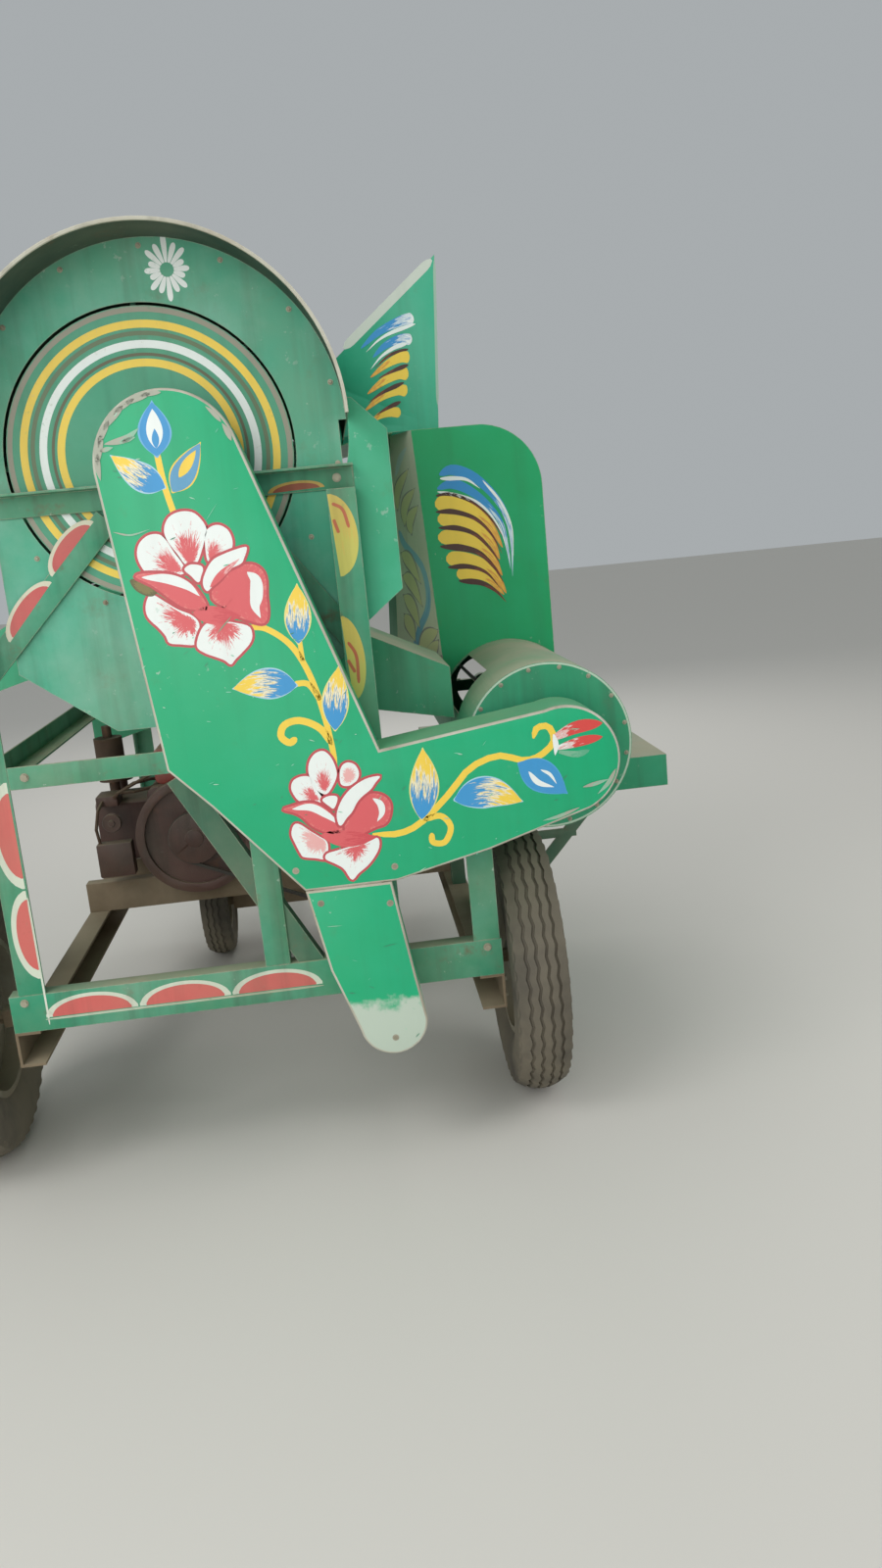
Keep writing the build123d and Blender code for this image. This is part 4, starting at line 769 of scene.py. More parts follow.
class HeadTree:
    """Geometry nodes that stand a screw or rivet head with its washer on each point of a mesh."""

    _tree: bpy.types.NodeTree | None = None

    @classmethod
    def get(cls) -> bpy.types.NodeTree:
        """Gives the node tree, and builds it on first use.

        Returns:
            The one tree that all heads share.
        """
        if cls._tree is None:
            cls._tree = cls._build()
        return cls._tree

    @classmethod
    def _build(cls) -> bpy.types.NodeTree:
        """Makes the tree: cone and washer, turned to the face, realized, with their material.

        Returns:
            The tree; its inputs are the points, the head's form, a seed and the material.
        """
        tree = bpy.data.node_groups.new("fastener heads", "GeometryNodeTree")
        sockets = (("Points", "NodeSocketGeometry"), ("Sides", "NodeSocketInt"),
                   ("Top Share", "NodeSocketFloat"), ("Height Share", "NodeSocketFloat"),
                   ("Seed", "NodeSocketInt"), ("Material", "NodeSocketMaterial"))
        for name, kind in sockets:
            tree.interface.new_socket(name, in_out="INPUT", socket_type=kind)
        tree.interface.new_socket("Geometry", in_out="OUTPUT", socket_type="NodeSocketGeometry")
        given = add_node(tree, "NodeGroupInput").outputs
        top = add_node(tree, "ShaderNodeMath", {0: given["Top Share"], 1: 0.5},
                       operation="MULTIPLY").outputs[0]
        head = add_node(tree, "GeometryNodeMeshCone",
                        {"Vertices": given["Sides"], "Radius Top": top, "Radius Bottom": 0.5,
                         "Depth": given["Height Share"]})
        thin = add_node(tree, "ShaderNodeMath", {0: given["Height Share"], 1: 0.3},
                        operation="MULTIPLY").outputs[0]
        washer = add_node(tree, "GeometryNodeMeshCone",
                          {"Vertices": 12, "Radius Top": 0.60, "Radius Bottom": 0.62, "Depth": thin})
        both = add_node(tree, "GeometryNodeJoinGeometry")
        tree.links.new(head.outputs["Mesh"], both.inputs[0])
        tree.links.new(washer.outputs["Mesh"], both.inputs[0])
        facing = add_node(tree, "GeometryNodeInputNamedAttribute", {"Name": "facing"},
                          data_type="FLOAT_VECTOR")
        size = add_node(tree, "GeometryNodeInputNamedAttribute", {"Name": "size"}, data_type="FLOAT")
        upright = add_node(tree, "FunctionNodeAlignRotationToVector", {"Vector": facing.outputs[0]}, axis="Z")
        spin = add_node(tree, "FunctionNodeRandomValue", {2: 0.0, 3: 6.28, "Seed": given["Seed"]},
                        data_type="FLOAT")
        about = add_node(tree, "FunctionNodeAxisAngleToRotation",
                         {"Axis": (0, 0, 1), "Angle": spin.outputs[1]})
        turned = add_node(tree, "FunctionNodeRotateRotation",
                          {"Rotation": upright.outputs[0], "Rotate By": about.outputs[0]},
                          rotation_space="LOCAL")
        stood = add_node(tree, "GeometryNodeInstanceOnPoints",
                         {"Points": given["Points"], "Instance": both.outputs[0],
                          "Rotation": turned.outputs[0], "Scale": size.outputs[0]})
        real = add_node(tree, "GeometryNodeRealizeInstances", {"Geometry": stood.outputs[0]})
        painted = add_node(tree, "GeometryNodeSetMaterial",
                           {"Geometry": real.outputs[0], "Material": given["Material"]})
        add_node(tree, "NodeGroupOutput", {0: painted.outputs[0]})
        return tree


@dataclass(frozen=True)
class Head:
    """The form of a fastener's head; its top and height are shares of its width."""

    sides: int
    top_share: float
    height_share: float


HEX_HEAD = Head(6, 0.94, 0.36)
FLAT_HEAD = Head(6, 0.94, 0.09)
RIVET_HEAD = Head(10, 0.55, 0.42)
HEAD_SEED = 7


@dataclass
class Heads:
    """Screw or rivet heads of one kind that are seated on one body's sheets."""

    name: str
    body: str
    sheet: Sheet
    slot: Slot
    head: Head = HEX_HEAD
    sink: float = 0.0
    spots: list[tuple[Vector, Vector, float]] = field(default_factory=list)

    def add(self, origin: Vector, direction: Vector, size: float, reach: float = 0.5) -> None:
        """Seats one head where a line meets the sheet.

        Args:
            origin: The line's start.
            direction: Where it goes.
            size: The head's width.
            reach: How far the line may go.
        """
        found = self.sheet.seat(origin, direction, reach)
        if found is None:
            LOG.warning("%s: no sheet below %s", self.name, tuple(round(c, 3) for c in origin))
            return
        self.spots.append((found[0] - found[1] * self.sink, found[1], size))

    def row(self, start: Vector, end: Vector, count: int, direction: Vector, size: float) -> None:
        """Seats an even row of heads.

        Args:
            start: The first line's start.
            end: The last line's start.
            count: How many heads.
            direction: Where each line goes.
            size: The heads' width.
        """
        for k in range(count):
            self.add(start.lerp(end, k / max(1, count - 1)), direction, size)

    def build(self) -> Piece:
        """Runs the node tree over the points.

        Returns:
            One plain mesh piece.
        """
        points = bpy.data.meshes.new(f"{self.name}_points")
        points.from_pydata([spot for spot, _, _ in self.spots], [], [])
        facing = points.attributes.new("facing", "FLOAT_VECTOR", "POINT")
        facing.data.foreach_set("vector", [c for _, normal, _ in self.spots for c in normal])
        size = points.attributes.new("size", "FLOAT", "POINT")
        size.data.foreach_set("value", [width for _, _, width in self.spots])
        host = bpy.data.objects.new(f"{self.name}_host", points)
        bpy.context.scene.collection.objects.link(host)
        tree = HeadTree.get()
        modifier = host.modifiers.new("heads", "NODES")
        modifier.node_group = tree
        keys = {item.name: item.identifier for item in tree.interface.items_tree if item.in_out == "INPUT"}
        values = {"Sides": self.head.sides, "Top Share": self.head.top_share,
                  "Height Share": self.head.height_share, "Seed": HEAD_SEED,
                  "Material": FINISHES.get(BOLT_STEEL)}
        for key, value in values.items():
            modifier[keys[key]] = value
        mesh = bpy.data.meshes.new_from_object(host.evaluated_get(bpy.context.evaluated_depsgraph_get()))
        bpy.data.objects.remove(host)
        mesh.materials.clear()
        for key in ("facing", "size"):
            if key in mesh.attributes:
                mesh.attributes.remove(mesh.attributes[key])
        shade_by_angle(mesh, 50.0 if self.head is RIVET_HEAD else 30.0)
        return make_object(self.name, mesh, [BOLT_STEEL], self.body)


class Form(Enum):
    """How wide a brush stroke is along its length."""

    LINE = "even, with round ends"
    LEAF = "pointed at both ends"
    PETAL = "narrow at its root and round at its tip"
    HEART = "narrow at its root, full, and pointed at its tip"
    FINGER = "round at its root and drawn out to a point"
    CRESCENT = "fine at both ends, fullest early"
    SCALLOP = "half an ellipse on one side of its path"

    def width(self, u: float) -> Point:
        """Measures the stroke at one place.

        Args:
            u: The share of its length up to there.

        Returns:
            Shares of the half width to the left and right of the path.
        """
        if self is Form.SCALLOP:
            return (math.sqrt(max(0.0, 1 - (2 * u - 1) ** 2)), 0.0)
        if self is Form.LINE:
            ends = min(1.0, u * 12, (1 - u) * 12)
            full = math.sqrt(max(0.0, 1 - (1 - ends) ** 2))
        elif self is Form.LEAF:
            full = math.sin(math.pi * u ** 0.85) ** 0.85
        elif self is Form.PETAL:
            full = (0.28 + 0.72 * u ** 0.7) * math.sqrt(max(0.0, 1 - u ** 5))
        elif self is Form.HEART:
            full = (0.30 + 0.95 * u ** 0.8) * max(0.0, 1 - u ** 2.6) ** 0.75
        elif self is Form.FINGER:
            full = min(1.0, math.sqrt(max(0.0, 1 - (1 - min(1.0, u * 9)) ** 2))) * (1 - u) ** 0.55
        else:
            full = min(1.0, math.sqrt(min(1.0, u * 5))) * (1 - u) ** 0.8
        return (full, full)


@dataclass(frozen=True)
class Stroke:
    """One pull of a paint brush on a panel.

    path is in the panel's own metres, and split is how far along it the root colour reaches.
    """

    path: Curve
    width: float
    form: Form
    root: str
    tip: str
    split: float = 0.5
    layer: int = 1
    rim: str = ""
    rim_width: float = 0.0045

    def moved(self, centre: Point, scale: float, angle: float) -> "Stroke":
        """The same stroke turned and scaled about its panel's origin, then moved to a centre."""
        return replace(self, path=tuple(carried(p, centre, scale, angle) for p in self.path),
                       width=self.width * scale)

    def under(self) -> "Stroke":
        """The wider stroke of rim colour that lies below this one."""
        return replace(self, width=self.width + 2 * self.rim_width, root=self.rim, tip=self.rim)


@dataclass(frozen=True)
class Blot:
    """A petal filled in between its root and a drawn outline.

    Points are in the panel's own metres, and split is how far out from the root the inner colour reaches.
    """

    outline: Curve
    root: Point
    inner: str
    outer: str
    split: float = 0.5
    layer: int = 1
    rim: str = ""
    rim_width: float = 0.006

    def moved(self, centre: Point, scale: float, angle: float) -> "Blot":
        """The same petal turned and scaled about its panel's origin, then moved to a centre."""
        return replace(self, outline=tuple(carried(p, centre, scale, angle) for p in self.outline),
                       root=carried(self.root, centre, scale, angle))

    def under(self) -> "Blot":
        """The petal of rim colour that lies below this one."""
        return replace(self, inner=self.rim, outer=self.rim)


def carried(point: Point, centre: Point, scale: float, angle: float) -> Point:
    """Turns and scales a panel point about the origin and moves it to a centre.

    Args:
        point: The point to carry.
        centre: Where the origin goes.
        scale: The new length of 1.
        angle: Degrees, anticlockwise.

    Returns:
        The new point.
    """
    spun = Matrix.Rotation(math.radians(angle), 2) @ (Vector(point) * scale)
    return (centre[0] + spun.x, centre[1] + spun.y)


@dataclass(frozen=True)
class Panel:
    """A four-cornered face that carries paint: low start, low end, high start and high end corners."""

    low_start: Vector
    low_end: Vector
    high_start: Vector
    high_end: Vector
    outward: Vector
    wall: Sheet | None = None

    def place(self, across: float, height: float, lift: float) -> Vector:
        """Finds a point on the face.

        Args:
            across: The distance along the low edge.
            height: The true height.
            lift: How far the point stands off the face.

        Returns:
            The point, on the real wall where the panel has one.
        """
        share = across / (self.low_end - self.low_start).length
        rise = (height - self.low_start.z) / (self.high_start.z - self.low_start.z)
        start = self.low_start.lerp(self.high_start, rise)
        end = self.low_end.lerp(self.high_end, rise)
        flat = start.lerp(end, share)
        if self.wall is not None:
            found = self.wall.seat(flat + self.outward * 0.06, -self.outward, 0.12)
            if found is not None:
                return found[0] + found[1] * (lift + 0.0003)
        return flat + self.outward * lift


def facing_near(y: float) -> Panel:
    """A panel on a face that looks to the near end, where across is X and height is Z."""
    corners = [Vector((x, y, z)) for x, z in ((0, 0), (1, 0), (0, 1), (1, 1))]
    return Panel(*corners, outward=NEAR)


class Painter:
    """Lays brush strokes on panels and joins them into one thin mesh."""

    LOOP_POINTS = 44
    LOOP_RINGS = 4
    LOOP_LANE = 2.2
    PATH_SPANS = 26
    PATH_LINES = 5
    PATH_LANE = 90
    RING_STEPS = 120
    RING_LANE = 0.4

    def __init__(self, name: str, body: str) -> None:
        """Starts an empty painting.

        Args:
            name: The piece's name.
            body: The CAD body that carries it.
        """
        self.name = name
        self.body = body
        self.shape = bmesh.new()
        self.uv = self.shape.loops.layers.uv.new("stroke")
        self.root = self.shape.verts.layers.float_color.new("root_paint")
        self.tip = self.shape.verts.layers.float_color.new("tip_paint")

    def lay(self, panel: Panel, strokes: list[Stroke | Blot]) -> None:
        """Lays strokes and petals on one panel, the rim of each half a step under it.

        Args:
            panel: The face that carries them.
            strokes: What is painted, in the panel's metres.
        """
        for stroke in strokes:
            make = self._fan if isinstance(stroke, Blot) else self._strip
            if stroke.rim:
                make(panel, stroke.under(), stroke.rim_width, -0.5)
            make(panel, stroke, 0.0, 0.0)

    def ring(self, centre: Vector, inner: float, outer: float, colour: str, other: str, layer: int) -> None:
        """Paints a flat ring that faces the near end.

        Args:
            centre: Its middle on the sheet.
            inner: Its inner radius.
            outer: Its outer radius.
            colour: Its paint.
            other: The paint where the first one ran thin.
            layer: Steps above the sheet.
        """
        lifted = centre - Vector((0, PAINT_STEP * layer, 0))
        rows = [[self._vert(lifted + spoke(angle) * radius, colour, other) for radius in (inner, outer)]
                for angle in angles(self.RING_STEPS)]
        for k, a in enumerate(rows):
            b = rows[(k + 1) % self.RING_STEPS]
            low, high = k * self.RING_LANE, k * self.RING_LANE + self.RING_LANE
            self._face([a[0], b[0], b[1], a[1]], [(0.1, low), (0.1, high), (0.3, high), (0.3, low)], NEAR)

    def _vert(self, point: Vector, root: str, tip: str) -> bmesh.types.BMVert:
        """Adds one painted vertex.

        Args:
            point: Its place.
            root: The paint at its stroke's root.
            tip: The paint at its stroke's tip.

        Returns:
            The vertex.
        """
        vert = self.shape.verts.new(point)
        vert[self.root] = linear(root)
        vert[self.tip] = linear(tip)
        return vert

    def _face(self, verts: list[bmesh.types.BMVert], uvs: list[Point], outward: Vector) -> None:
        """Adds one face.

        Args:
            verts: Its corners in order.
            uvs: Their places along and across the stroke.
            outward: The side that it looks to.
        """
        face = self.shape.faces.new(verts)
        for loop, uv in zip(face.loops, uvs):
            loop[self.uv].uv = uv
        face.normal_update()
        if face.normal.dot(outward) < 0:
            face.normal_flip()

    def _fan(self, panel: Panel, blot: Blot, extend: float, down: float) -> None:
        """Makes the mesh of one petal, in rings round its root.

        Args:
            panel: The face that carries it.
            blot: Its outline, root and colours.
            extend: How far its outline reaches outwards, for a rim.
            down: Layers below its own, for a rim.
        """
        edge = smooth_loop(blot.outline, self.LOOP_POINTS)
        count = len(edge)
        if extend > 0:
            area = sum(a.x * b.y - b.x * a.y for a, b in zip(edge, edge[1:] + edge[:1]))
            outer = []
            for k, point in enumerate(edge):
                ahead = edge[(k + 1) % count] - edge[k - 1]
                outer.append(point + Vector((ahead.y, -ahead.x)).normalized() * math.copysign(extend, area))
            edge = outer
        lift = PAINT_STEP * (blot.layer + down)
        root = Vector(blot.root)
        middle = self._vert(panel.place(root.x, root.y, lift), blot.inner, blot.outer)
        rings = self.LOOP_RINGS
        rows = []
        for r in range(1, rings + 1):
            spots = [root.lerp(point, r / rings) for point in edge]
            rows.append([self._vert(panel.place(s.x, s.y, lift), blot.inner, blot.outer) for s in spots])
        first = 0.5 - blot.split
        for k in range(count):
            n = (k + 1) % count
            a, b = k * self.LOOP_LANE / 4, (k + 1) * self.LOOP_LANE / 4
            near = first + 1 / rings
            self._face([middle, rows[0][k], rows[0][n]], [(first, a), (near, a), (near, b)], panel.outward)
            for r in range(rings - 1):
                low, high = first + (r + 1) / rings, first + (r + 2) / rings
                self._face([rows[r][k], rows[r + 1][k], rows[r + 1][n], rows[r][n]],
                           [(low, a), (high, a), (high, b), (low, b)], panel.outward)

    def _strip(self, panel: Panel, stroke: Stroke, extend: float, down: float) -> None:
        """Makes the mesh of one stroke.

        Args:
            panel: The face that carries it.
            stroke: Its path, width and colours.
            extend: How far its ends reach past the path, for a rim.
            down: Layers below its own, for a rim.
        """
        points = smooth_path(stroke.path, self.PATH_SPANS)
        if extend > 0 and stroke.form is not Form.SCALLOP:
            first = (points[0] - points[1]).normalized() * extend
            last = (points[-1] - points[-2]).normalized() * extend
            points[0] = points[0] + first
            points[-1] = points[-1] + last
        lift = PAINT_STEP * (stroke.layer + down)
        rows = []
        count = len(points) - 1
        for k, point in enumerate(points):
            u = k / count
            ahead = points[min(k + 1, count)] - points[max(k - 1, 0)]
            side = Vector((-ahead.y, ahead.x)).normalized()
            left, right = stroke.form.width(min(max(u, 0.004), 0.996))
            row = []
            for line in range(self.PATH_LINES):
                v = line / (self.PATH_LINES - 1)
                offset = (left * (1 - v) - right * v) * stroke.width / 2 if right > 0 else \
                    left * (1 - v) * stroke.width
                spot = point + side * offset
                row.append((self._vert(panel.place(spot.x, spot.y, lift), stroke.root, stroke.tip),
                            (u - stroke.split + 0.5, offset * self.PATH_LANE)))
            rows.append(row)
        for a, b in zip(rows, rows[1:]):
            for line in range(self.PATH_LINES - 1):
                quad = [a[line], b[line], b[line + 1], a[line + 1]]
                self._face([q[0] for q in quad], [q[1] for q in quad], panel.outward)

    def finish(self, paint: Finish = BRUSH_PAINT) -> Piece:
        """Turns the strokes into a piece that rides on its body.

        Args:
            paint: The finish that they share.

        Returns:
            The piece.
        """
        bmesh.ops.dissolve_degenerate(self.shape, dist=0.00001, edges=self.shape.edges)
        mesh = bpy.data.meshes.new(self.name)
        self.shape.to_mesh(mesh)
        self.shape.free()
        return make_object(self.name, mesh, [paint], self.body)


def curve_point(knots: list[Vector], t: float) -> Vector:
    """A point between the middle two of four knots, on the smooth curve through all of them."""
    p0, p1, p2, p3 = knots
    return 0.5 * ((2 * p1) + (p2 - p0) * t + (2 * p0 - 5 * p1 + 4 * p2 - p3) * t * t
                  + (3 * p1 - p0 - 3 * p2 + p3) * t ** 3)


def smooth_path(points: Curve, steps: int) -> list[Vector]:
    """Points along a smooth curve through the given ones.

    Args:
        points: Two or more points on a panel.
        steps: How many spans the whole curve gets.

    Returns:
        steps + 1 points.
    """
    knots = [Vector(p) for p in points]
    if len(knots) == 2:
        return [knots[0].lerp(knots[1], k / steps) for k in range(steps + 1)]
    knots = [knots[0] * 2 - knots[1]] + knots + [knots[-1] * 2 - knots[-2]]
    spans = len(knots) - 3
    result = []
    for k in range(steps + 1):
        place = min(k / steps * spans, spans - 1e-6)
        n = int(place)
        result.append(curve_point(knots[n:n + 4], place - n))
    return result


def smooth_loop(points: Curve, steps: int) -> list[Vector]:
    """Points round a smooth closed curve.

    Args:
        points: Points of the outline in order.
        steps: How many points the curve gets.

    Returns:
        The curve's points, without the first one again.
    """
    knots = [Vector(p) for p in points]
    count = len(knots)
    result = []
    for k in range(steps):
        place = k / steps * count
        n = int(place)
        result.append(curve_point([knots[(n + j) % count] for j in (-1, 0, 1, 2)], place - n))
    return result


def petal(outline: Curve, root: Point, inner: str = ROSE, outer: str = WHITE, split: float = 0.5,
          layer: int = 2) -> Blot:
    """A rose petal with a red rim, red near its root and white outside unless said otherwise."""
    return Blot(outline, root, inner, outer, split, layer, rim=ROSE_RIM)


def leaf(path: Curve, width: float, root: str = WHITE, tip: str = WHITE, split: float = 0.5,
         layer: int = 3) -> Stroke:
    """A stroke that is pointed at both ends, white unless said otherwise."""
    return Stroke(path, width, Form.LEAF, root, tip, split, layer)


def line(path: Curve, width: float, colour: str, layer: int = 1, other: str = "") -> Stroke:
    """An even stroke in one colour, or running into another."""
    return Stroke(path, width, Form.LINE, colour, other or colour, layer=layer)


def upper_rose() -> list[Stroke | Blot]:
    """The full-blown folk rose at the guard's elbow, in units of a tenth of its height about its heart.

    Returns:
        Its petals and strokes.
    """
    return [
        petal(((-2.0, 4.4), (-2.8, 5.5), (-3.0, 6.4), (-2.6, 7.3), (-1.7, 7.75), (-0.7, 7.7), (0, 7.1),
               (0.35, 6.4), (0.25, 5.8), (-0.3, 4.1), (-0.7, 3.6), (-1.4, 3.6)), (-1.0, 3.8), split=0.52),
        petal(((0.2, 5.9), (0.6, 6.55), (1.3, 6.75), (2.0, 6.4), (2.35, 5.7), (2.35, 5.0), (2.0, 4.4),
               (1.3, 4.1), (0.7, 3.8), (0.3, 4.1)), (0.6, 4.2), split=0.42),
        petal(((-4.3, 2.8), (-4.9, 3.4), (-5.2, 4.3), (-5.0, 5.2), (-4.3, 5.85), (-3.4, 5.95), (-2.8, 5.4),
               (-2.3, 4.6), (-1.6, 3.6), (-1.5, 2.9), (-2.9, 2.7)), (-2.0, 3.2), split=0.48),
        petal(((-4.1, 1.2), (-4.5, 0.9), (-4.7, 0.1), (-4.5, -0.7), (-3.7, -1.5), (-3.2, -2.1), (-2.9, -2.7),
               (-2.1, -2.8), (-0.7, -2.8), (-0.5, -1.8), (-0.5, -1.0), (-1.1, -0.4), (-2.1, 0), (-3.1, 0.6)),
              (-1.1, -0.9), split=0.55),
        petal(((0, -1.2), (-0.5, -2.0), (-0.7, -3.0), (-0.1, -3.5), (0.7, -3.8), (1.5, -4.1), (2.0, -4.45),
               (2.4, -4.0), (3.0, -3.4), (3.6, -2.7), (3.8, -2.0), (3.5, -1.3), (2.2, -1.0), (0.9, -0.8)),
              (1.5, -1.1), split=0.5, layer=3),
        petal(((1.6, 0.2), (0.7, 0.8), (0.7, 1.8), (1.5, 2.6), (2.2, 3.2), (3.1, 3.6), (4.0, 3.65),
               (4.7, 3.2), (5.0, 2.4), (5.0, 1.2), (5.1, 0), (5.0, -0.8), (4.6, -1.1), (3.7, -0.9),
               (2.2, -0.4), (1.3, -0.2)), (2.6, 1.3), ROSE, ROSE_WARM, 1.0, 4),
        petal(((-5.4, 2.6), (-4.9, 2.85), (-3.7, 2.9), (-2.5, 2.8), (-1.5, 2.4), (-0.7, 1.8), (0, 0.8),
               (0.2, 0), (-0.8, 0), (-1.7, 0.2), (-2.5, 0.7), (-3.3, 1.3), (-4.1, 1.9), (-4.9, 2.3)),
              (-2.0, 1.6), ROSE, ROSE_WARM, 1.0, 5),
        leaf(((-0.9, -0.25), (0.9, -0.45), (2.9, -0.5)), 1.5, ROSE, "#D24E56", 0.6, 5),
        leaf(((3.5, 3.05), (4.15, 2.4), (4.2, 1.2), (4.1, 0.3), (4.5, -0.65)), 1.05, layer=6),
        leaf(((-4.9, 2.55), (-2.9, 2.45), (-1.4, 1.95), (-0.35, 1.1)), 0.80, layer=6),
        Blot(((-5.85, 2.3), (-5.3, 2.4), (-4.5, 2.0), (-3.7, 1.5), (-4.1, 1.05), (-4.8, 1.15), (-5.5, 1.6)),
             (-4.8, 1.7), "#7C7440", "#5E5A34", 0.7, 3),
        petal(((-1.5, 3.2), (-1.0, 3.6), (-0.15, 3.5), (-0.05, 3.0), (-0.4, 2.2), (-1.0, 2.7)), (-0.7, 3.0),
              WHITE, WHITE, layer=6),
        petal(((0, 1.8), (-0.05, 2.4), (0.3, 3.3), (0.8, 4.0), (1.5, 4.4), (2.5, 4.8), (3.4, 5.05),
               (3.5, 4.8), (3.25, 4.1), (3.0, 3.7), (2.0, 3.2), (1.3, 2.4), (0.7, 1.9), (0.3, 1.5)),
              (1.1, 3.2), WHITE, WHITE, layer=7),
        leaf(((0.5, 1.8), (1.5, 2.9), (2.9, 4.1)), 0.55, ROSE, "#E9A6A4", 0.7, 9),
    ]


def lower_rose() -> list[Stroke | Blot]:
    """The second rose, below the stem's end, in the same units.

    Returns:
        Its petals and strokes.
    """
    return [
        petal(((-3.1, 4.1), (-3.5, 5.2), (-3.4, 6.2), (-2.9, 6.9), (-2.2, 7.1), (-1.6, 6.6), (-1.2, 5.8),
               (-1.05, 5.0), (-1.3, 4.2), (-1.9, 3.3), (-2.6, 3.5)), (-2.1, 3.8), split=0.42),
        petal(((-0.7, 4.2), (-0.8, 5.1), (-0.6, 5.8), (-0.1, 6.1), (0.5, 5.9), (0.85, 5.3), (0.8, 4.7),
               (0.4, 4.2), (-0.2, 4.0)), (0, 4.8), ROSE_PALE, WHITE, 0.6),
        petal(((-4.7, 3.1), (-5.0, 3.8), (-4.8, 4.5), (-4.1, 4.85), (-3.4, 4.8), (-3.1, 4.1), (-2.4, 3.1),
               (-2.3, 2.6), (-3.2, 2.4), (-4.2, 2.6)), (-2.9, 2.9), split=0.45),
        petal(((-4.3, 0.6), (-4.8, 0.5), (-5.0, -0.3), (-4.7, -1.1), (-4.2, -2.1), (-3.9, -2.4), (-2.9, -2.5),
               (-2.0, -2.6), (-1.8, -1.9), (-1.9, -1.0), (-2.6, -0.5), (-3.4, 0)), (-2.3, -0.9),
              ROSE_PALE, WHITE, 0.6),
        petal(((-1.9, -2.1), (-2.0, -2.6), (-1.2, -3.0), (-0.4, -3.5), (0.3, -4.5), (0.9, -3.9), (1.7, -3.2),
               (2.3, -2.4), (2.7, -1.5), (2.6, -0.7), (1.9, -0.8), (1.0, -1.3), (0, -1.5), (-1.0, -1.8)),
              (0.7, -1.5), split=0.42, layer=3),
        petal(((-0.4, -0.1), (-0.1, 1.1), (0.6, 2.3), (1.3, 3.1), (2.2, 3.35), (3.1, 3.1), (3.65, 2.4),
               (3.6, 1.3), (3.2, 0.6), (2.4, 0.3), (1.2, -0.3), (0.4, -0.5)), (1.4, 1.2), ROSE, ROSE_WARM,
              1.0, 4),
        petal(((-5.7, 1.9), (-5.0, 2.2), (-4.0, 2.5), (-3.0, 2.5), (-2.2, 2.1), (-1.4, 1.4), (-0.7, 0.7),
               (-0.6, -0.1), (-1.4, -0.3), (-2.4, 0), (-3.3, 0.5), (-4.0, 1.2), (-4.7, 1.6)), (-2.4, 1.1),
              ROSE, ROSE_WARM, 1.0, 5),
        leaf(((-2.4, -0.4), (0, -0.75), (2.5, -0.6)), 1.5, ROSE, "#D24E56", 0.6, 5),
        leaf(((2.1, 2.9), (2.75, 2.4), (2.9, 1.6), (2.5, 0.8)), 0.60, layer=6),
        leaf(((-4.9, 1.95), (-3.3, 2.1), (-1.9, 1.4), (-0.7, 0.5)), 0.70, layer=6),
        petal(((-2.3, 2.75), (-1.8, 3.1), (-1.1, 3.1), (-1.0, 2.7), (-1.3, 2.0), (-1.7, 2.2)), (-1.6, 2.6),
              WHITE, WHITE, layer=6),
        petal(((-0.9, 0.6), (-1.05, 1.5), (-0.7, 2.6), (-0.1, 3.5), (0.7, 4.2), (1.6, 4.7), (2.7, 4.9),
               (2.3, 4.3), (1.9, 3.7), (1.2, 3.1), (0.7, 2.5), (0.3, 1.7), (-0.2, 1.1), (-0.6, 0.5)),
              (0.1, 2.8), WHITE, WHITE, layer=7),
    ]


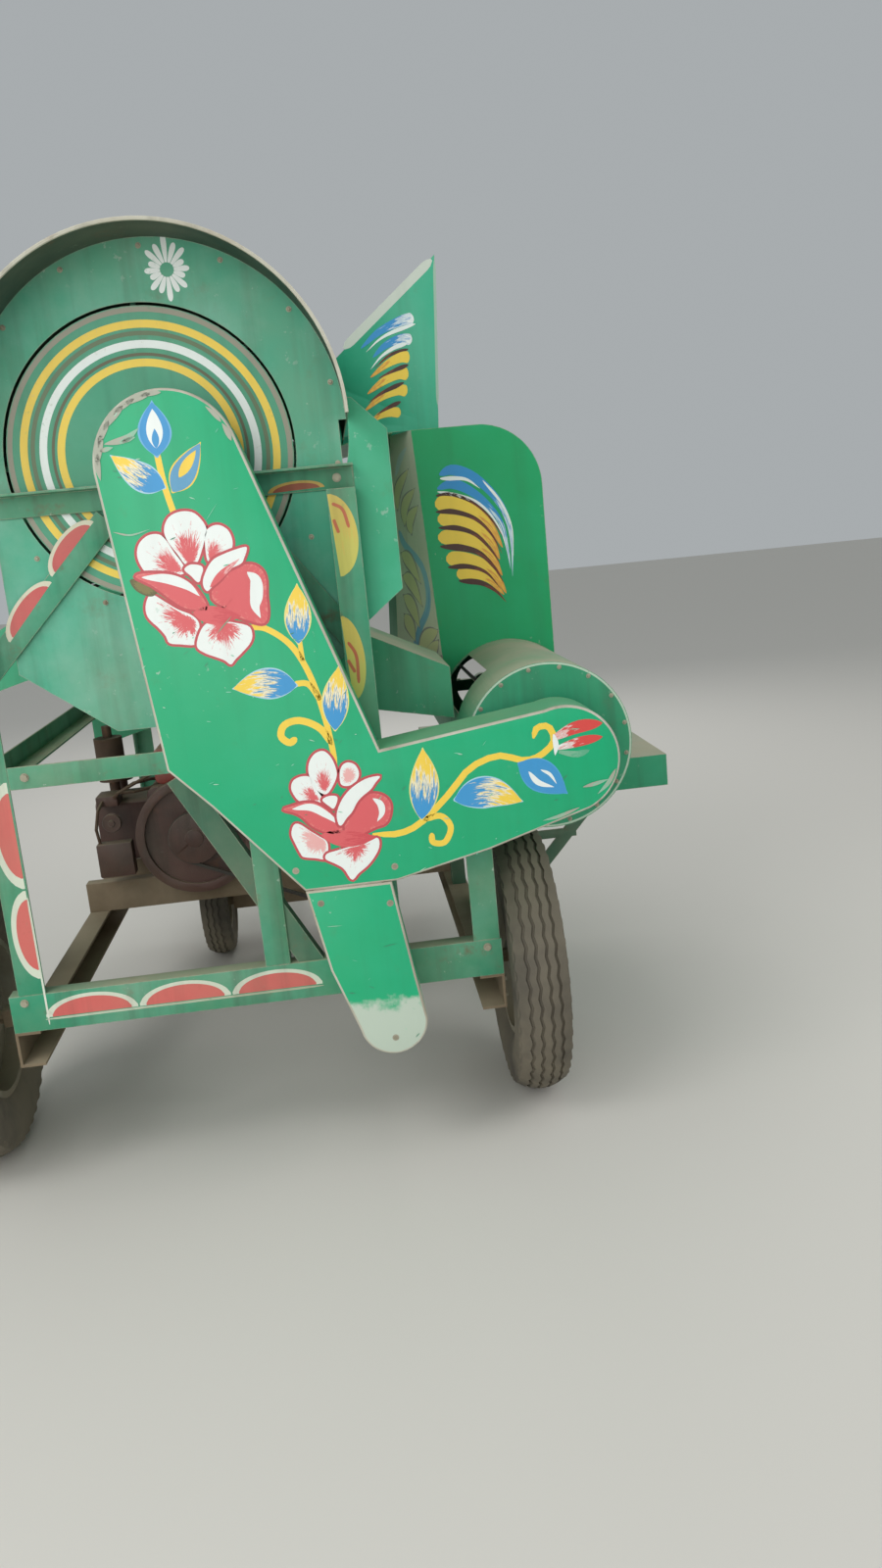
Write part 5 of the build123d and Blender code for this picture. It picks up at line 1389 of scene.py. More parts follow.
@dataclass(frozen=True)
class BeltGuard:
    """The painted belt guard at the near end and the tail below its seam."""

    fold_radius: float = 0.006
    in_front: float = -1.75
    bolt_width: float = 0.014
    scratches: int = 70
    seed: int = 11
    top: Point = (-0.187, 1.807)
    rubbed_radius: float = 0.153
    upper_place: tuple[Point, float, float] = ((-0.1482, 1.4764), 0.0284, -6.0)
    lower_place: tuple[Point, float, float] = ((0.1237, 0.9157), 0.0276, -6.5)

    def build(self) -> Pieces:
        """Makes both shells and their painting.

        Returns:
            The guard's pieces.
        """
        pieces = [self._shell("belt_guard", "guard_shell", GUARD_ENAMEL),
                  self._shell("guard_tail", "guard_tail_shell", TAIL_ENAMEL)]
        face = facing_near(GUARD_LOW.y + FACE_RECESS)
        art = Painter("guard_flowers", "frame")
        for strokes in (self._top_sprig(), [s.moved(*self.upper_place) for s in upper_rose()],
                        [s.moved(*self.lower_place) for s in lower_rose()], self._middle_stem(),
                        self._side_stem()):
            art.lay(face, strokes)
        wear = Painter("guard_scratches", "frame")
        wear.lay(face, self._scratches())
        return [*pieces, art.finish(), wear.finish(), self._bolts()]

    def _shell(self, node: str, name: str, finish: Finish) -> Piece:
        """Copies a sheet shell, rounds its fold and sets its face back under the paint.

        Args:
            node: The CAD node.
            name: The copy's name.
            finish: The enamel on it; its fold is worn bare.

        Returns:
            The copy, in the node's place.
        """
        shape = merged_copy(node)
        face_y = GUARD_LOW.y
        fold = [e for e in shape.edges
                if e.is_manifold and all(v.co.y < face_y + 0.0005 for v in e.verts)
                and e.calc_face_angle() > math.radians(60)]
        round_edges(shape, fold, self.fold_radius, 3)
        for vert in shape.verts:
            if vert.co.y < face_y + self.fold_radius + 0.0005:
                vert.co.y += FACE_RECESS
        worn = Area(WORN_RIM, lambda f: f.normal.y > -0.985
                    and f.calc_center_median().y < face_y + self.fold_radius + 0.0015)
        mark_areas(shape, (worn,))
        piece = make_object(name, finish_mesh(shape, name), [finish, WORN_RIM], "frame")
        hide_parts(node)
        return piece

    def _scratches(self) -> list[Stroke]:
        """Short pale scratches and knocks, scattered where the sheet is flat, and rubbed places on its rim.

        Returns:
            The strokes.
        """
        dice = random.Random(self.seed)
        skin = Sheet("belt_guard", "guard_tail")
        marks = []
        while len(marks) < self.scratches:
            x = dice.uniform(-0.33, 0.78)
            z = dice.uniform(0.34, 1.95)
            angle = dice.uniform(-0.6, 0.9)
            length = dice.uniform(0.002, 0.009) * (3.0 if dice.random() < 0.12 else 1.0)
            ends = tuple((x + way * length * math.cos(angle), z + way * length * math.sin(angle))
                         for way in (-1, 1))
            found = [skin.seat(Vector((px, self.in_front, pz)), -NEAR, 0.13) for px, pz in ends]
            if any(f is None or f[1].y > -0.99 for f in found):
                continue
            colour = dice.choice(("#7CCBA9", "#A5D2B8", "#4FB890", "#3E8C6C"))
            marks.append(leaf(ends, dice.uniform(0.0010, 0.0030), colour, colour, layer=9))
        rubbed = "#A9AC9A"
        for turn, long, width in ((96, 9, 0.011), (108, 12, 0.017), (121, 11, 0.013), (134, 13, 0.019),
                                  (150, 12, 0.015), (164, 13, 0.020), (178, 11, 0.013), (40, 9, 0.010),
                                  (22, 8, 0.012)):
            bend = tuple((self.top[0] + self.rubbed_radius * math.cos(math.radians(t)),
                          self.top[1] + self.rubbed_radius * math.sin(math.radians(t)))
                         for t in (turn - long, turn, turn + long))
            marks.append(leaf(bend, width, rubbed, rubbed, layer=8))
        for path, width in ((((-0.318, 1.860), (-0.270, 1.868), (-0.238, 1.888)), 0.015),
                            (((-0.330, 1.846), (-0.300, 1.852)), 0.010),
                            (((-0.280, 1.862), (-0.248, 1.870)), 0.010),
                            (((-0.328, 1.669), (-0.290, 1.659), (-0.245, 1.668)), 0.004),
                            (((0.705, 0.958), (0.740, 0.964), (0.770, 0.971)), 0.010),
                            (((0.790, 0.995), (0.769, 0.962), (0.740, 0.936)), 0.011),
                            (((0.694, 0.908), (0.642, 0.892), (0.599, 0.885)), 0.009)):
            marks.append(leaf(path, width, rubbed, "#8FBFA2", 0.5, 8))
        return marks

    def _bolts(self) -> Piece:
        """The flat bolts that hold the guard.

        Returns:
            The piece.
        """
        heads = Heads("guard_bolts", "frame", Sheet("belt_guard", "guard_tail"), Slot.GUARD, FLAT_HEAD,
                      FACE_RECESS)
        for x, z in ((-0.0148, 0.8298), (0.2257, 0.8121), (0.205, 0.720), (0.036, 0.740), (0.183, 0.365)):
            heads.add(Vector((x, self.in_front, z)), -NEAR, self.bolt_width, 0.13)
        return heads.build()

    def _leaf(self, path: Curve, width: float, root: str, tip: str, split: float = 0.5,
              rim: str = "") -> Stroke:
        """A pointed leaf in two colours."""
        return Stroke(path, width, Form.LEAF, root, tip, split, 2, rim=rim, rim_width=0.0035)

    def _stem(self, path: Curve, width: float) -> Stroke:
        """A yellow stem."""
        return line(path, width, YELLOW)

    def _top_sprig(self) -> list[Stroke]:
        """A blue bud between two leaves at the top of the guard.

        Returns:
            The strokes.
        """
        return [
            self._stem(((-0.207, 1.840), (-0.200, 1.763), (-0.186, 1.690)), 0.014),
            Stroke(((-0.207, 1.826), (-0.202, 1.940)), 0.066, Form.LEAF, BLUE, BLUE, layer=2, rim="#6FB3DE"),
            leaf(((-0.206, 1.842), (-0.203, 1.926)), 0.036),
            leaf(((-0.206, 1.842), (-0.204, 1.884)), 0.016, BLUE, BLUE, layer=4),
            self._leaf(((-0.200, 1.756), (-0.250, 1.785), (-0.307, 1.834)), 0.058, BLUE, YELLOW, 0.55,
                       BLUE_PALE),
            self._leaf(((-0.183, 1.745), (-0.150, 1.788), (-0.109, 1.844)), 0.052, "#5E9FC4", "#5E9FC4", 0.4,
                       YELLOW),
            leaf(((-0.165, 1.775), (-0.120, 1.830)), 0.022, YELLOW, YELLOW, layer=3),
        ]

    def _middle_stem(self) -> list[Stroke]:
        """The stem between the two roses with its bud leaf, side leaves and curl.

        Returns:
            The strokes.
        """
        return [
            self._stem(((-0.055, 1.427), (-0.012, 1.418), (0.041, 1.372), (0.077, 1.293), (0.099, 1.191),
                        (0.112, 1.075)), 0.014),
            self._stem(((0.060, 1.385), (0.062, 1.335)), 0.011),
            self._leaf(((0.057, 1.378), (0.069, 1.512)), 0.056, BLUE, YELLOW, 0.42, YELLOW_EDGE),
            self._stem(((0.036, 1.284), (0.068, 1.280), (0.092, 1.240)), 0.014),
            self._leaf(((0.040, 1.280), (-0.030, 1.292), (-0.106, 1.288)), 0.068, BLUE, YELLOW, 0.48,
                       BLUE_PALE),
            self._leaf(((0.119, 1.165), (0.128, 1.240), (0.143, 1.312)), 0.058, BLUE, YELLOW, 0.5,
                       YELLOW_EDGE),
            self._stem(((0.108, 1.130), (0.084, 1.172), (0.040, 1.196), (0.002, 1.190), (-0.010, 1.164),
                        (0.008, 1.146), (0.026, 1.156)), 0.017),
        ]

    def _side_stem(self) -> list[Stroke]:
        """The stem along the side arm, with its leaves, bud, curls and a small blossom.

        Returns:
            The strokes.
        """
        return [
            self._stem(((0.180, 0.900), (0.243, 0.894), (0.299, 0.914), (0.373, 0.976), (0.432, 1.036),
                        (0.503, 1.059), (0.563, 1.041), (0.605, 1.048), (0.641, 1.079), (0.632, 1.116),
                        (0.603, 1.117), (0.592, 1.092)), 0.016),
            self._stem(((0.307, 0.921), (0.350, 0.926), (0.372, 0.896), (0.355, 0.860), (0.326, 0.862),
                        (0.324, 0.886)), 0.015),
            self._leaf(((0.303, 0.924), (0.318, 1.010), (0.322, 1.096)), 0.066, BLUE, YELLOW, 0.45,
                       YELLOW_EDGE),
            self._leaf(((0.388, 0.962), (0.470, 0.972), (0.552, 0.940)), 0.074, BLUE, YELLOW, 0.5, BLUE_PALE),
            self._leaf(((0.552, 1.034), (0.609, 0.994), (0.664, 0.948)), 0.074, BLUE, "#3F97CF", 0.5,
                       "#4FA3D6"),
            leaf(((0.574, 1.012), (0.596, 0.982), (0.634, 0.966)), 0.014),
            leaf(((0.604, 1.013), (0.626, 0.999), (0.641, 0.973)), 0.008),
            Stroke(((0.642, 1.088), (0.700, 1.108), (0.764, 1.112)), 0.042, Form.HEART, "#F0B9AE", "#DB4A44",
                   0.10, 2),
            Stroke(((0.650, 1.062), (0.705, 1.072), (0.762, 1.078)), 0.032, Form.HEART, WHITE, "#DB4A44",
                   0.16, 3),
            leaf(((0.642, 1.098), (0.646, 1.070), (0.642, 1.044)), 0.014, layer=4),
            Stroke(((0.652, 1.052), (0.695, 1.042), (0.728, 1.048)), 0.022, Form.HEART, "#7DB795", "#5FAE88",
                   0.5, 2),
        ]


@dataclass(frozen=True)
class DrumEnd:
    """The round end of the drum housing, with its disc, painted rings and rosette."""

    disc_radius: float = 0.340
    sheet_radius: float = 0.447
    axis_x: float = -0.216
    axis_z: float = 1.887
    wire_radius: float = 0.0042
    strap_places: tuple[float, ...] = (-0.78, 0.02, 0.64)
    strap_half: float = 0.015
    strap_rise: float = 0.0025
    rivet_width: float = 0.011
    petals: int = 16
    rosette: Point = (-0.151, 2.255)
    plate_bolts: int = 14
    plate_bolt_circle: float = 0.425
    in_front: float = -1.58

    def build(self) -> Pieces:
        """Dresses the housing and the drum's near disc.

        Returns:
            The housing's and the drum's pieces.
        """
        mouth = Area(WORN_RIM, lambda f: f.normal.y < -0.9 and f.calc_center_median().y < COVER_LOW.y + 0.002)
        # The cover's inner faces take a dark green that paints the shade inside the overhang
        inside = Area(PAINTED_SHADE_SHEET, lambda f: f.normal.dot(self._out(f.calc_center_median())) < -0.5)
        return [
            dress_copy("drum_cover", "drum_cover_sheet", HOUSING_ENAMEL, areas=(mouth, inside)),
            dress_copy("near_end_plate", "near_end_sheet", PLATE_ENAMEL),
            dress_copy("far_end_plate", "far_end_sheet", HOUSING_ENAMEL),
            dress_copy("drum_rotor", "drum_rotor_bars", DRUM_ENAMEL),
            self._hem(), self._straps(), self._rings(), self._rosette(), self._bolts(),
        ]

    def _out(self, spot: Vector) -> Vector:
        """The direction from the cover's axis to a point."""
        return Vector((spot.x - self.axis_x, 0, spot.z - self.axis_z)).normalized()

    def _axis(self, y: float) -> Vector:
        """The point of the cover's axis at a place along it."""
        return Vector((self.axis_x, y, self.axis_z))

    def _arc(self, y: float, low: int, high: int) -> list[list[Vector]]:
        """Finds where the cover's sheet stands at a place along it.

        Args:
            y: The place along the axis.
            low: The first angle in degrees, from +X towards +Z.
            high: The last angle.

        Returns:
            Runs of outward directions without a gap.
        """
        skin = Sheet("drum_cover")
        axis = self._axis(y)
        runs: list[list[Vector]] = [[]]
        for degrees in range(low, high + 1, 3):
            out = spoke(math.radians(degrees))
            found = skin.seat(axis + out * 0.6, -out, 0.2)
            if found is not None and (found[0] - axis).length > self.sheet_radius - 0.01:
                runs[-1].append(out)
            elif runs[-1]:
                runs.append([])
        return [run for run in runs if len(run) > 3]

    def _hem(self) -> Piece:
        """The wired edge round the cover's mouth, rubbed pale.

        Returns:
            The piece.
        """
        hem = Casting("cover_wired_edge", "frame", WORN_RIM, Slot.HOUSING)
        axis = self._axis(COVER_LOW.y + self.wire_radius)
        for run in self._arc(COVER_LOW.y + 0.02, -90, 267):
            hem.tube([axis + out * (self.sheet_radius - self.wire_radius) for out in run], self.wire_radius)
        return hem.build()

    def _straps(self) -> Piece:
        """Flat hoops over the cover's top.

        Returns:
            The piece.
        """
        straps = Casting("cover_straps", "frame", HOUSING_ENAMEL, Slot.HOUSING)
        foot = -0.0005
        section = ((-self.strap_half, foot), (-self.strap_half, self.strap_rise),
                   (self.strap_half, self.strap_rise), (self.strap_half, foot))
        for y in self.strap_places:
            for run in self._arc(y, -6, 186):
                straps.rings([[self._axis(y) + Vector((0, side, 0)) + out * (self.sheet_radius + rise)
                               for side, rise in section] for out in run])
        return straps.build()

    def _bolts(self) -> Piece:
        """Rivets along the hoops and small bolts round the end plate.

        Returns:
            The piece.
        """
        heads = Heads("cover_rivets", "frame", Sheet("drum_cover", "near_end_plate", "far_end_plate"),
                      Slot.HOUSING, RIVET_HEAD)
        for y in self.strap_places:
            for run in self._arc(y, 0, 180):
                for out in run[1::4]:
                    heads.add(self._axis(y) + out * 0.6, -out, self.rivet_width, 0.2)
        for k in range(self.plate_bolts):
            out = spoke(math.radians(12 + 360 / self.plate_bolts * k))
            spot = self._axis(0) + out * self.plate_bolt_circle
            if self._plate_there(spot):
                heads.add(Vector((spot.x, self.in_front, spot.z)), -NEAR, self.rivet_width, 0.2)
        return heads.build()

    def _plate_there(self, spot: Vector) -> bool:
        """Whether the near end plate is behind a point of its own plane."""
        found = Sheet("near_end_plate").seat(Vector((spot.x, self.in_front, spot.z)), -NEAR, 0.2)
        return found is not None and found[0].y < PLATE_LOW.y + 0.001

    def _rings(self) -> Piece:
        """Rings of paint on the drum's disc, with thin bands of painted shade beside them, which turn with
        it.

        Returns:
            The piece.
        """
        art = Painter("drum_disc_rings", "drum")
        middle = (ROTOR_LOW + ROTOR_HIGH) / 2
        centre = Vector((middle.x, ROTOR_LOW.y, middle.z))
        # The thin dark bands at 0.819 and 0.679 are painted soft shade beside the yellow and white rings; the
        # other bands are the rings' paint.
        bands = ((0.975, 0.012, "#95927F", "#8A8C78"), (0.880, 0.018, YELLOW, "#E9C96A"),
                 (0.819, 0.010, "#5F7350", "#6B6A4A"), (0.747, 0.018, WHITE, "#D7DCCF"),
                 (0.679, 0.007, "#5A5A3C", "#6A5A40"), (0.624, 0.018, YELLOW, "#E9C96A"))
        for share, width, colour, other in bands:
            outer = min(share * self.disc_radius + width / 2, self.disc_radius - 0.001)
            art.ring(centre, outer - width, outer, colour, other, 2)
        return art.finish()

    def _rosette(self) -> Piece:
        """A white star of petals at the top of the end plate.

        Returns:
            The piece.
        """
        art = Painter("end_plate_rosette", "frame")
        middle = Vector(self.rosette)
        strokes = []
        for k, angle in enumerate(angles(self.petals)):
            out = Vector((math.sin(angle), math.cos(angle)))
            reach = 0.052 + 0.030 * max(0.0, out.y) ** 3 + 0.018 * max(0.0, -out.y) ** 3
            if k % 2:
                reach *= 0.82
            ends = tuple(tuple(middle + out * far) for far in (0.016, reach))
            strokes.append(Stroke(ends, 0.017, Form.PETAL, WHITE, WHITE, layer=2))
        art.lay(facing_near(PLATE_LOW.y), strokes)
        return art.finish()


@dataclass(frozen=True)
class FeedSide:
    """The feed box, its hood and their painted fruit bunches."""

    slant: Corner = (-0.73, -0.68, 0)
    wall_width: float = 0.2186
    rivet_rows: tuple[float, ...] = (1.30, 1.60, 1.86)
    rivet_width: float = 0.010

    def build(self) -> Pieces:
        """Dresses the feed box and hood and paints them.

        Returns:
            The feed side's pieces.
        """
        slant = Vector(self.slant).normalized()
        # The slanted wall takes pale cream, painted sunlight and sky glare
        wall = Area(GLARE_CREAM_ENAMEL, lambda f: f.normal.dot(slant) > 0.78)
        # The hood's downward faces take a dark green that paints the shade under them
        painted_underside_shade = Area(PAINTED_SHADE_SHEET, lambda f: f.normal.z < -0.5)
        pieces = [
            dress_copy("feed_box", "feed_box_sheet", BOX_ENAMEL, areas=(wall,)),
            dress_copy("feed_hood", "feed_hood_sheet", HOOD_ENAMEL, areas=(painted_underside_shade,)),
            dress_copy("feed_floor", "feed_floor_sheet", BOX_ENAMEL),
        ]
        art = Painter("feed_box_fruit", "frame")
        art.lay(facing_near(FEED_LOW.y), self._bunch())
        art.lay(facing_near(HOOD_LOW.y), self._hood_bunch())
        art.lay(self._inner_wall(), self._strip())
        heads = Heads("feed_rivets", "frame", Sheet("feed_box", "feed_hood"), Slot.HOOD, RIVET_HEAD)
        for z in self.rivet_rows:
            heads.row(Vector((1.2, -0.70, z)), Vector((1.2, -0.12, z)), 8, -RIGHT, self.rivet_width)
        return [*pieces, art.finish(), heads.build()]

    def _inner_wall(self) -> Panel:
        """The slanted wall beside the feed box's near face.

        Returns:
            Its face, over the box's real sheet.
        """
        low = FEED_LOW.z
        high = FEED_HIGH.z
        return Panel(Vector((0.476, -0.740, low)), Vector((0.327, -0.580, low)),
                     Vector((0.435, -0.740, high)), Vector((0.380, -0.580, high)),
                     Vector(self.slant).normalized(), Sheet("feed_box"))

    def _crescent(self, path: Curve, width: float, colour: str = WHITE, tip: str = WHITE,
                  layer: int = 2) -> Stroke:
        """A sickle, white unless said otherwise."""
        return Stroke(path, width, Form.CRESCENT, colour, tip, 0.7, layer)

    def _fruit(self, path: Curve, width: float = 0.047, layer: int = 3) -> Stroke:
        """A yellow finger that turns orange towards its point."""
        return Stroke(path, width, Form.FINGER, YELLOW, ORANGE, 0.75, layer)

    def _gap(self, path: Curve, width: float = 0.020, layer: int = 2) -> Stroke:
        """The dark stroke between two fingers."""
        return Stroke(path, width, Form.CRESCENT, BROWN, "#7A3A26", 0.6, layer)

    def _bunch(self) -> list[Stroke]:
        """Fingers of fruit under two blue sickles, on the near face of the feed box.

        Returns:
            The strokes.
        """
        return [
            self._crescent(((0.509, 1.763), (0.550, 1.774), (0.612, 1.748), (0.671, 1.687), (0.704, 1.621),
                            (0.714, 1.546), (0.708, 1.440)), 0.040, BLUE_DEEP, BLUE_PALE, 1),
            self._crescent(((0.510, 1.752), (0.585, 1.744), (0.630, 1.712)), 0.016),
            self._crescent(((0.640, 1.735), (0.690, 1.665), (0.717, 1.590), (0.716, 1.500)), 0.010),
            self._crescent(((0.499, 1.723), (0.546, 1.733), (0.597, 1.709), (0.647, 1.663), (0.686, 1.602),
                            (0.699, 1.526), (0.704, 1.462)), 0.036, BLUE_DEEP, BLUE_PALE, 1),
            self._crescent(((0.499, 1.714), (0.543, 1.702), (0.606, 1.679), (0.651, 1.638), (0.684, 1.577),
                            (0.698, 1.512)), 0.014),
            self._gap(((0.493, 1.703), (0.543, 1.699), (0.605, 1.670), (0.655, 1.619), (0.690, 1.560))),
            self._gap(((0.488, 1.655), (0.545, 1.650), (0.607, 1.624), (0.652, 1.575), (0.682, 1.510)),
                      layer=4),
            self._gap(((0.492, 1.607), (0.553, 1.600), (0.607, 1.574), (0.652, 1.520), (0.672, 1.480)),
                      layer=4),
            self._gap(((0.492, 1.551), (0.560, 1.540), (0.613, 1.518), (0.655, 1.470), (0.680, 1.420)), 0.026,
                      4),
            self._gap(((0.510, 1.486), (0.575, 1.482), (0.628, 1.458), (0.668, 1.405)), layer=4),
            self._gap(((0.540, 1.442), (0.605, 1.430), (0.650, 1.402), (0.683, 1.362)), 0.022, 4),
            self._fruit(((0.488, 1.678), (0.541, 1.676), (0.603, 1.648), (0.653, 1.597), (0.684, 1.530))),
            self._fruit(((0.492, 1.633), (0.552, 1.627), (0.609, 1.598), (0.652, 1.548), (0.672, 1.495))),
            self._fruit(((0.488, 1.579), (0.553, 1.572), (0.605, 1.549), (0.648, 1.507), (0.676, 1.445))),
            self._fruit(((0.507, 1.512), (0.563, 1.507), (0.616, 1.486), (0.659, 1.442), (0.684, 1.390))),
            self._fruit(((0.535, 1.463), (0.592, 1.459), (0.637, 1.435), (0.677, 1.386)), 0.040),
        ]

    def _hood_bunch(self) -> list[Stroke]:
        """The mirrored bunch on the hood's near side, and a pale strip along its slope that paints the sky's
        reflection on the sloped top's edge.

        Returns:
            The strokes.
        """
        return [
            # A pale stroke along the slope: painted sky reflection on the edge of the sloped top sheet
            line(((0.262, 2.150), (0.545, 2.376)), 0.026, "#CBD3C6", 1),
            line(((0.553, 2.372), (0.525, 1.969)), 0.008, "#9DBBA6", 1),
            Stroke(((0.477, 2.218), (0.437, 2.213), (0.369, 2.187), (0.312, 2.146)), 0.036, Form.FINGER,
                   WHITE, BLUE_DEEP, 0.22, 2),
            self._crescent(((0.480, 2.202), (0.410, 2.184), (0.367, 2.165), (0.326, 2.134)), 0.014, layer=3),
            Stroke(((0.466, 2.158), (0.432, 2.163), (0.385, 2.148), (0.345, 2.118)), 0.034, Form.FINGER,
                   WHITE, BLUE_DEEP, 0.2, 2),
            self._crescent(((0.450, 2.149), (0.413, 2.141), (0.370, 2.118), (0.334, 2.084)), 0.016, layer=3),
            self._gap(((0.452, 2.133), (0.395, 2.120), (0.346, 2.086)), 0.014, 3),
            self._gap(((0.448, 2.089), (0.398, 2.074), (0.352, 2.056)), 0.016, 5),
            self._gap(((0.430, 2.040), (0.363, 2.016), (0.318, 1.990)), 0.016, 5),
            self._gap(((0.415, 1.986), (0.371, 1.970), (0.336, 1.952)), 0.016, 5),
            self._fruit(((0.454, 2.110), (0.427, 2.111), (0.384, 2.095), (0.332, 2.062)), 0.036, 4),
            self._fruit(((0.446, 2.062), (0.414, 2.065), (0.366, 2.046), (0.318, 2.016)), 0.038, 4),
            self._fruit(((0.438, 2.014), (0.409, 2.019), (0.358, 2.003), (0.304, 1.968)), 0.036, 4),
            self._fruit(((0.412, 1.955), (0.378, 1.958), (0.344, 1.949), (0.320, 1.930)), 0.032, 4),
        ]

    def _strip(self) -> list[Stroke]:
        """A blue stem and cream bunches on the slanted wall; their pale tints are painted sky glare.

        Returns:
            The strokes; across is from the wall's near edge.
        """
        cream = [((.81, 1.674), (.76, 1.733), (.29, 1.79)), ((.61, 1.624), (.55, 1.682), (.14, 1.73)),
                 ((.41, 1.596), (.42, 1.638), (.11, 1.678)), ((.78, 1.539), (.54, 1.51), (.30, 1.444)),
                 ((.77, 1.468), (.54, 1.445), (.32, 1.373)), ((.78, 1.407), (.59, 1.374), (.44, 1.307)),
                 ((.79, 1.346), (.675, 1.313), (.575, 1.263)), ((.02, 1.296), (.32, 1.269), (.51, 1.213)),
                 ((.04, 1.264), (.29, 1.213), (.41, 1.157)), ((.02, 1.214), (.16, 1.186), (.28, 1.124)),
                 ((.02, 1.160), (.10, 1.130), (.20, 1.075))]
        sprig = ((.83, 1.776), (.61, 1.82), (.26, 1.856))
        stem = ((.81, 1.61), (.66, 1.565), (.24, 1.503), (.13, 1.427), (.20, 1.362), (.42, 1.307),
                (.56, 1.252), (.61, 1.201), (.49, 1.139), (.30, 1.075))
        return [leaf(self._across(sprig), 0.030, layer=2),
                line(self._across(stem), 0.026, BLUE_PALE, 2, "#8FC0DE"),
                *(Stroke(self._across(path), 0.046, Form.LEAF, CREAM, CREAM, 0.6, 4, MAUVE, 0.006)
                  for path in cream)]

    def _across(self, points: Curve) -> Curve:
        """Panel points from shares of the slanted wall's width with their heights."""
        return tuple((share * self.wall_width, z) for share, z in points)


@dataclass(frozen=True)
class ScallopRow:
    """A row of half-round petals painted along a bar's face, bulging to the left of its direction."""

    start: Point
    end: Point
    count: int
    depth: float
    fill: str
    border: str
    core: float = 0.80

    def strokes(self) -> list[Stroke]:
        """Each scallop as a border with its fill.

        Returns:
            The strokes.
        """
        start = Vector(self.start)
        run = (Vector(self.end) - start) / self.count
        result = []
        for k in range(self.count):
            a, b = start + run * (k + 0.01), start + run * (k + 0.99)
            mid = (a + b) / 2
            fill = tuple(tuple(mid + (end - mid) * self.core) for end in (a, b))
            result.append(Stroke((tuple(a), tuple(b)), self.depth, Form.SCALLOP, self.border, self.border,
                                 layer=1))
            result.append(Stroke(fill, self.depth * (self.core - 0.04), Form.SCALLOP, self.fill, self.fill,
                                 layer=2))
        return result


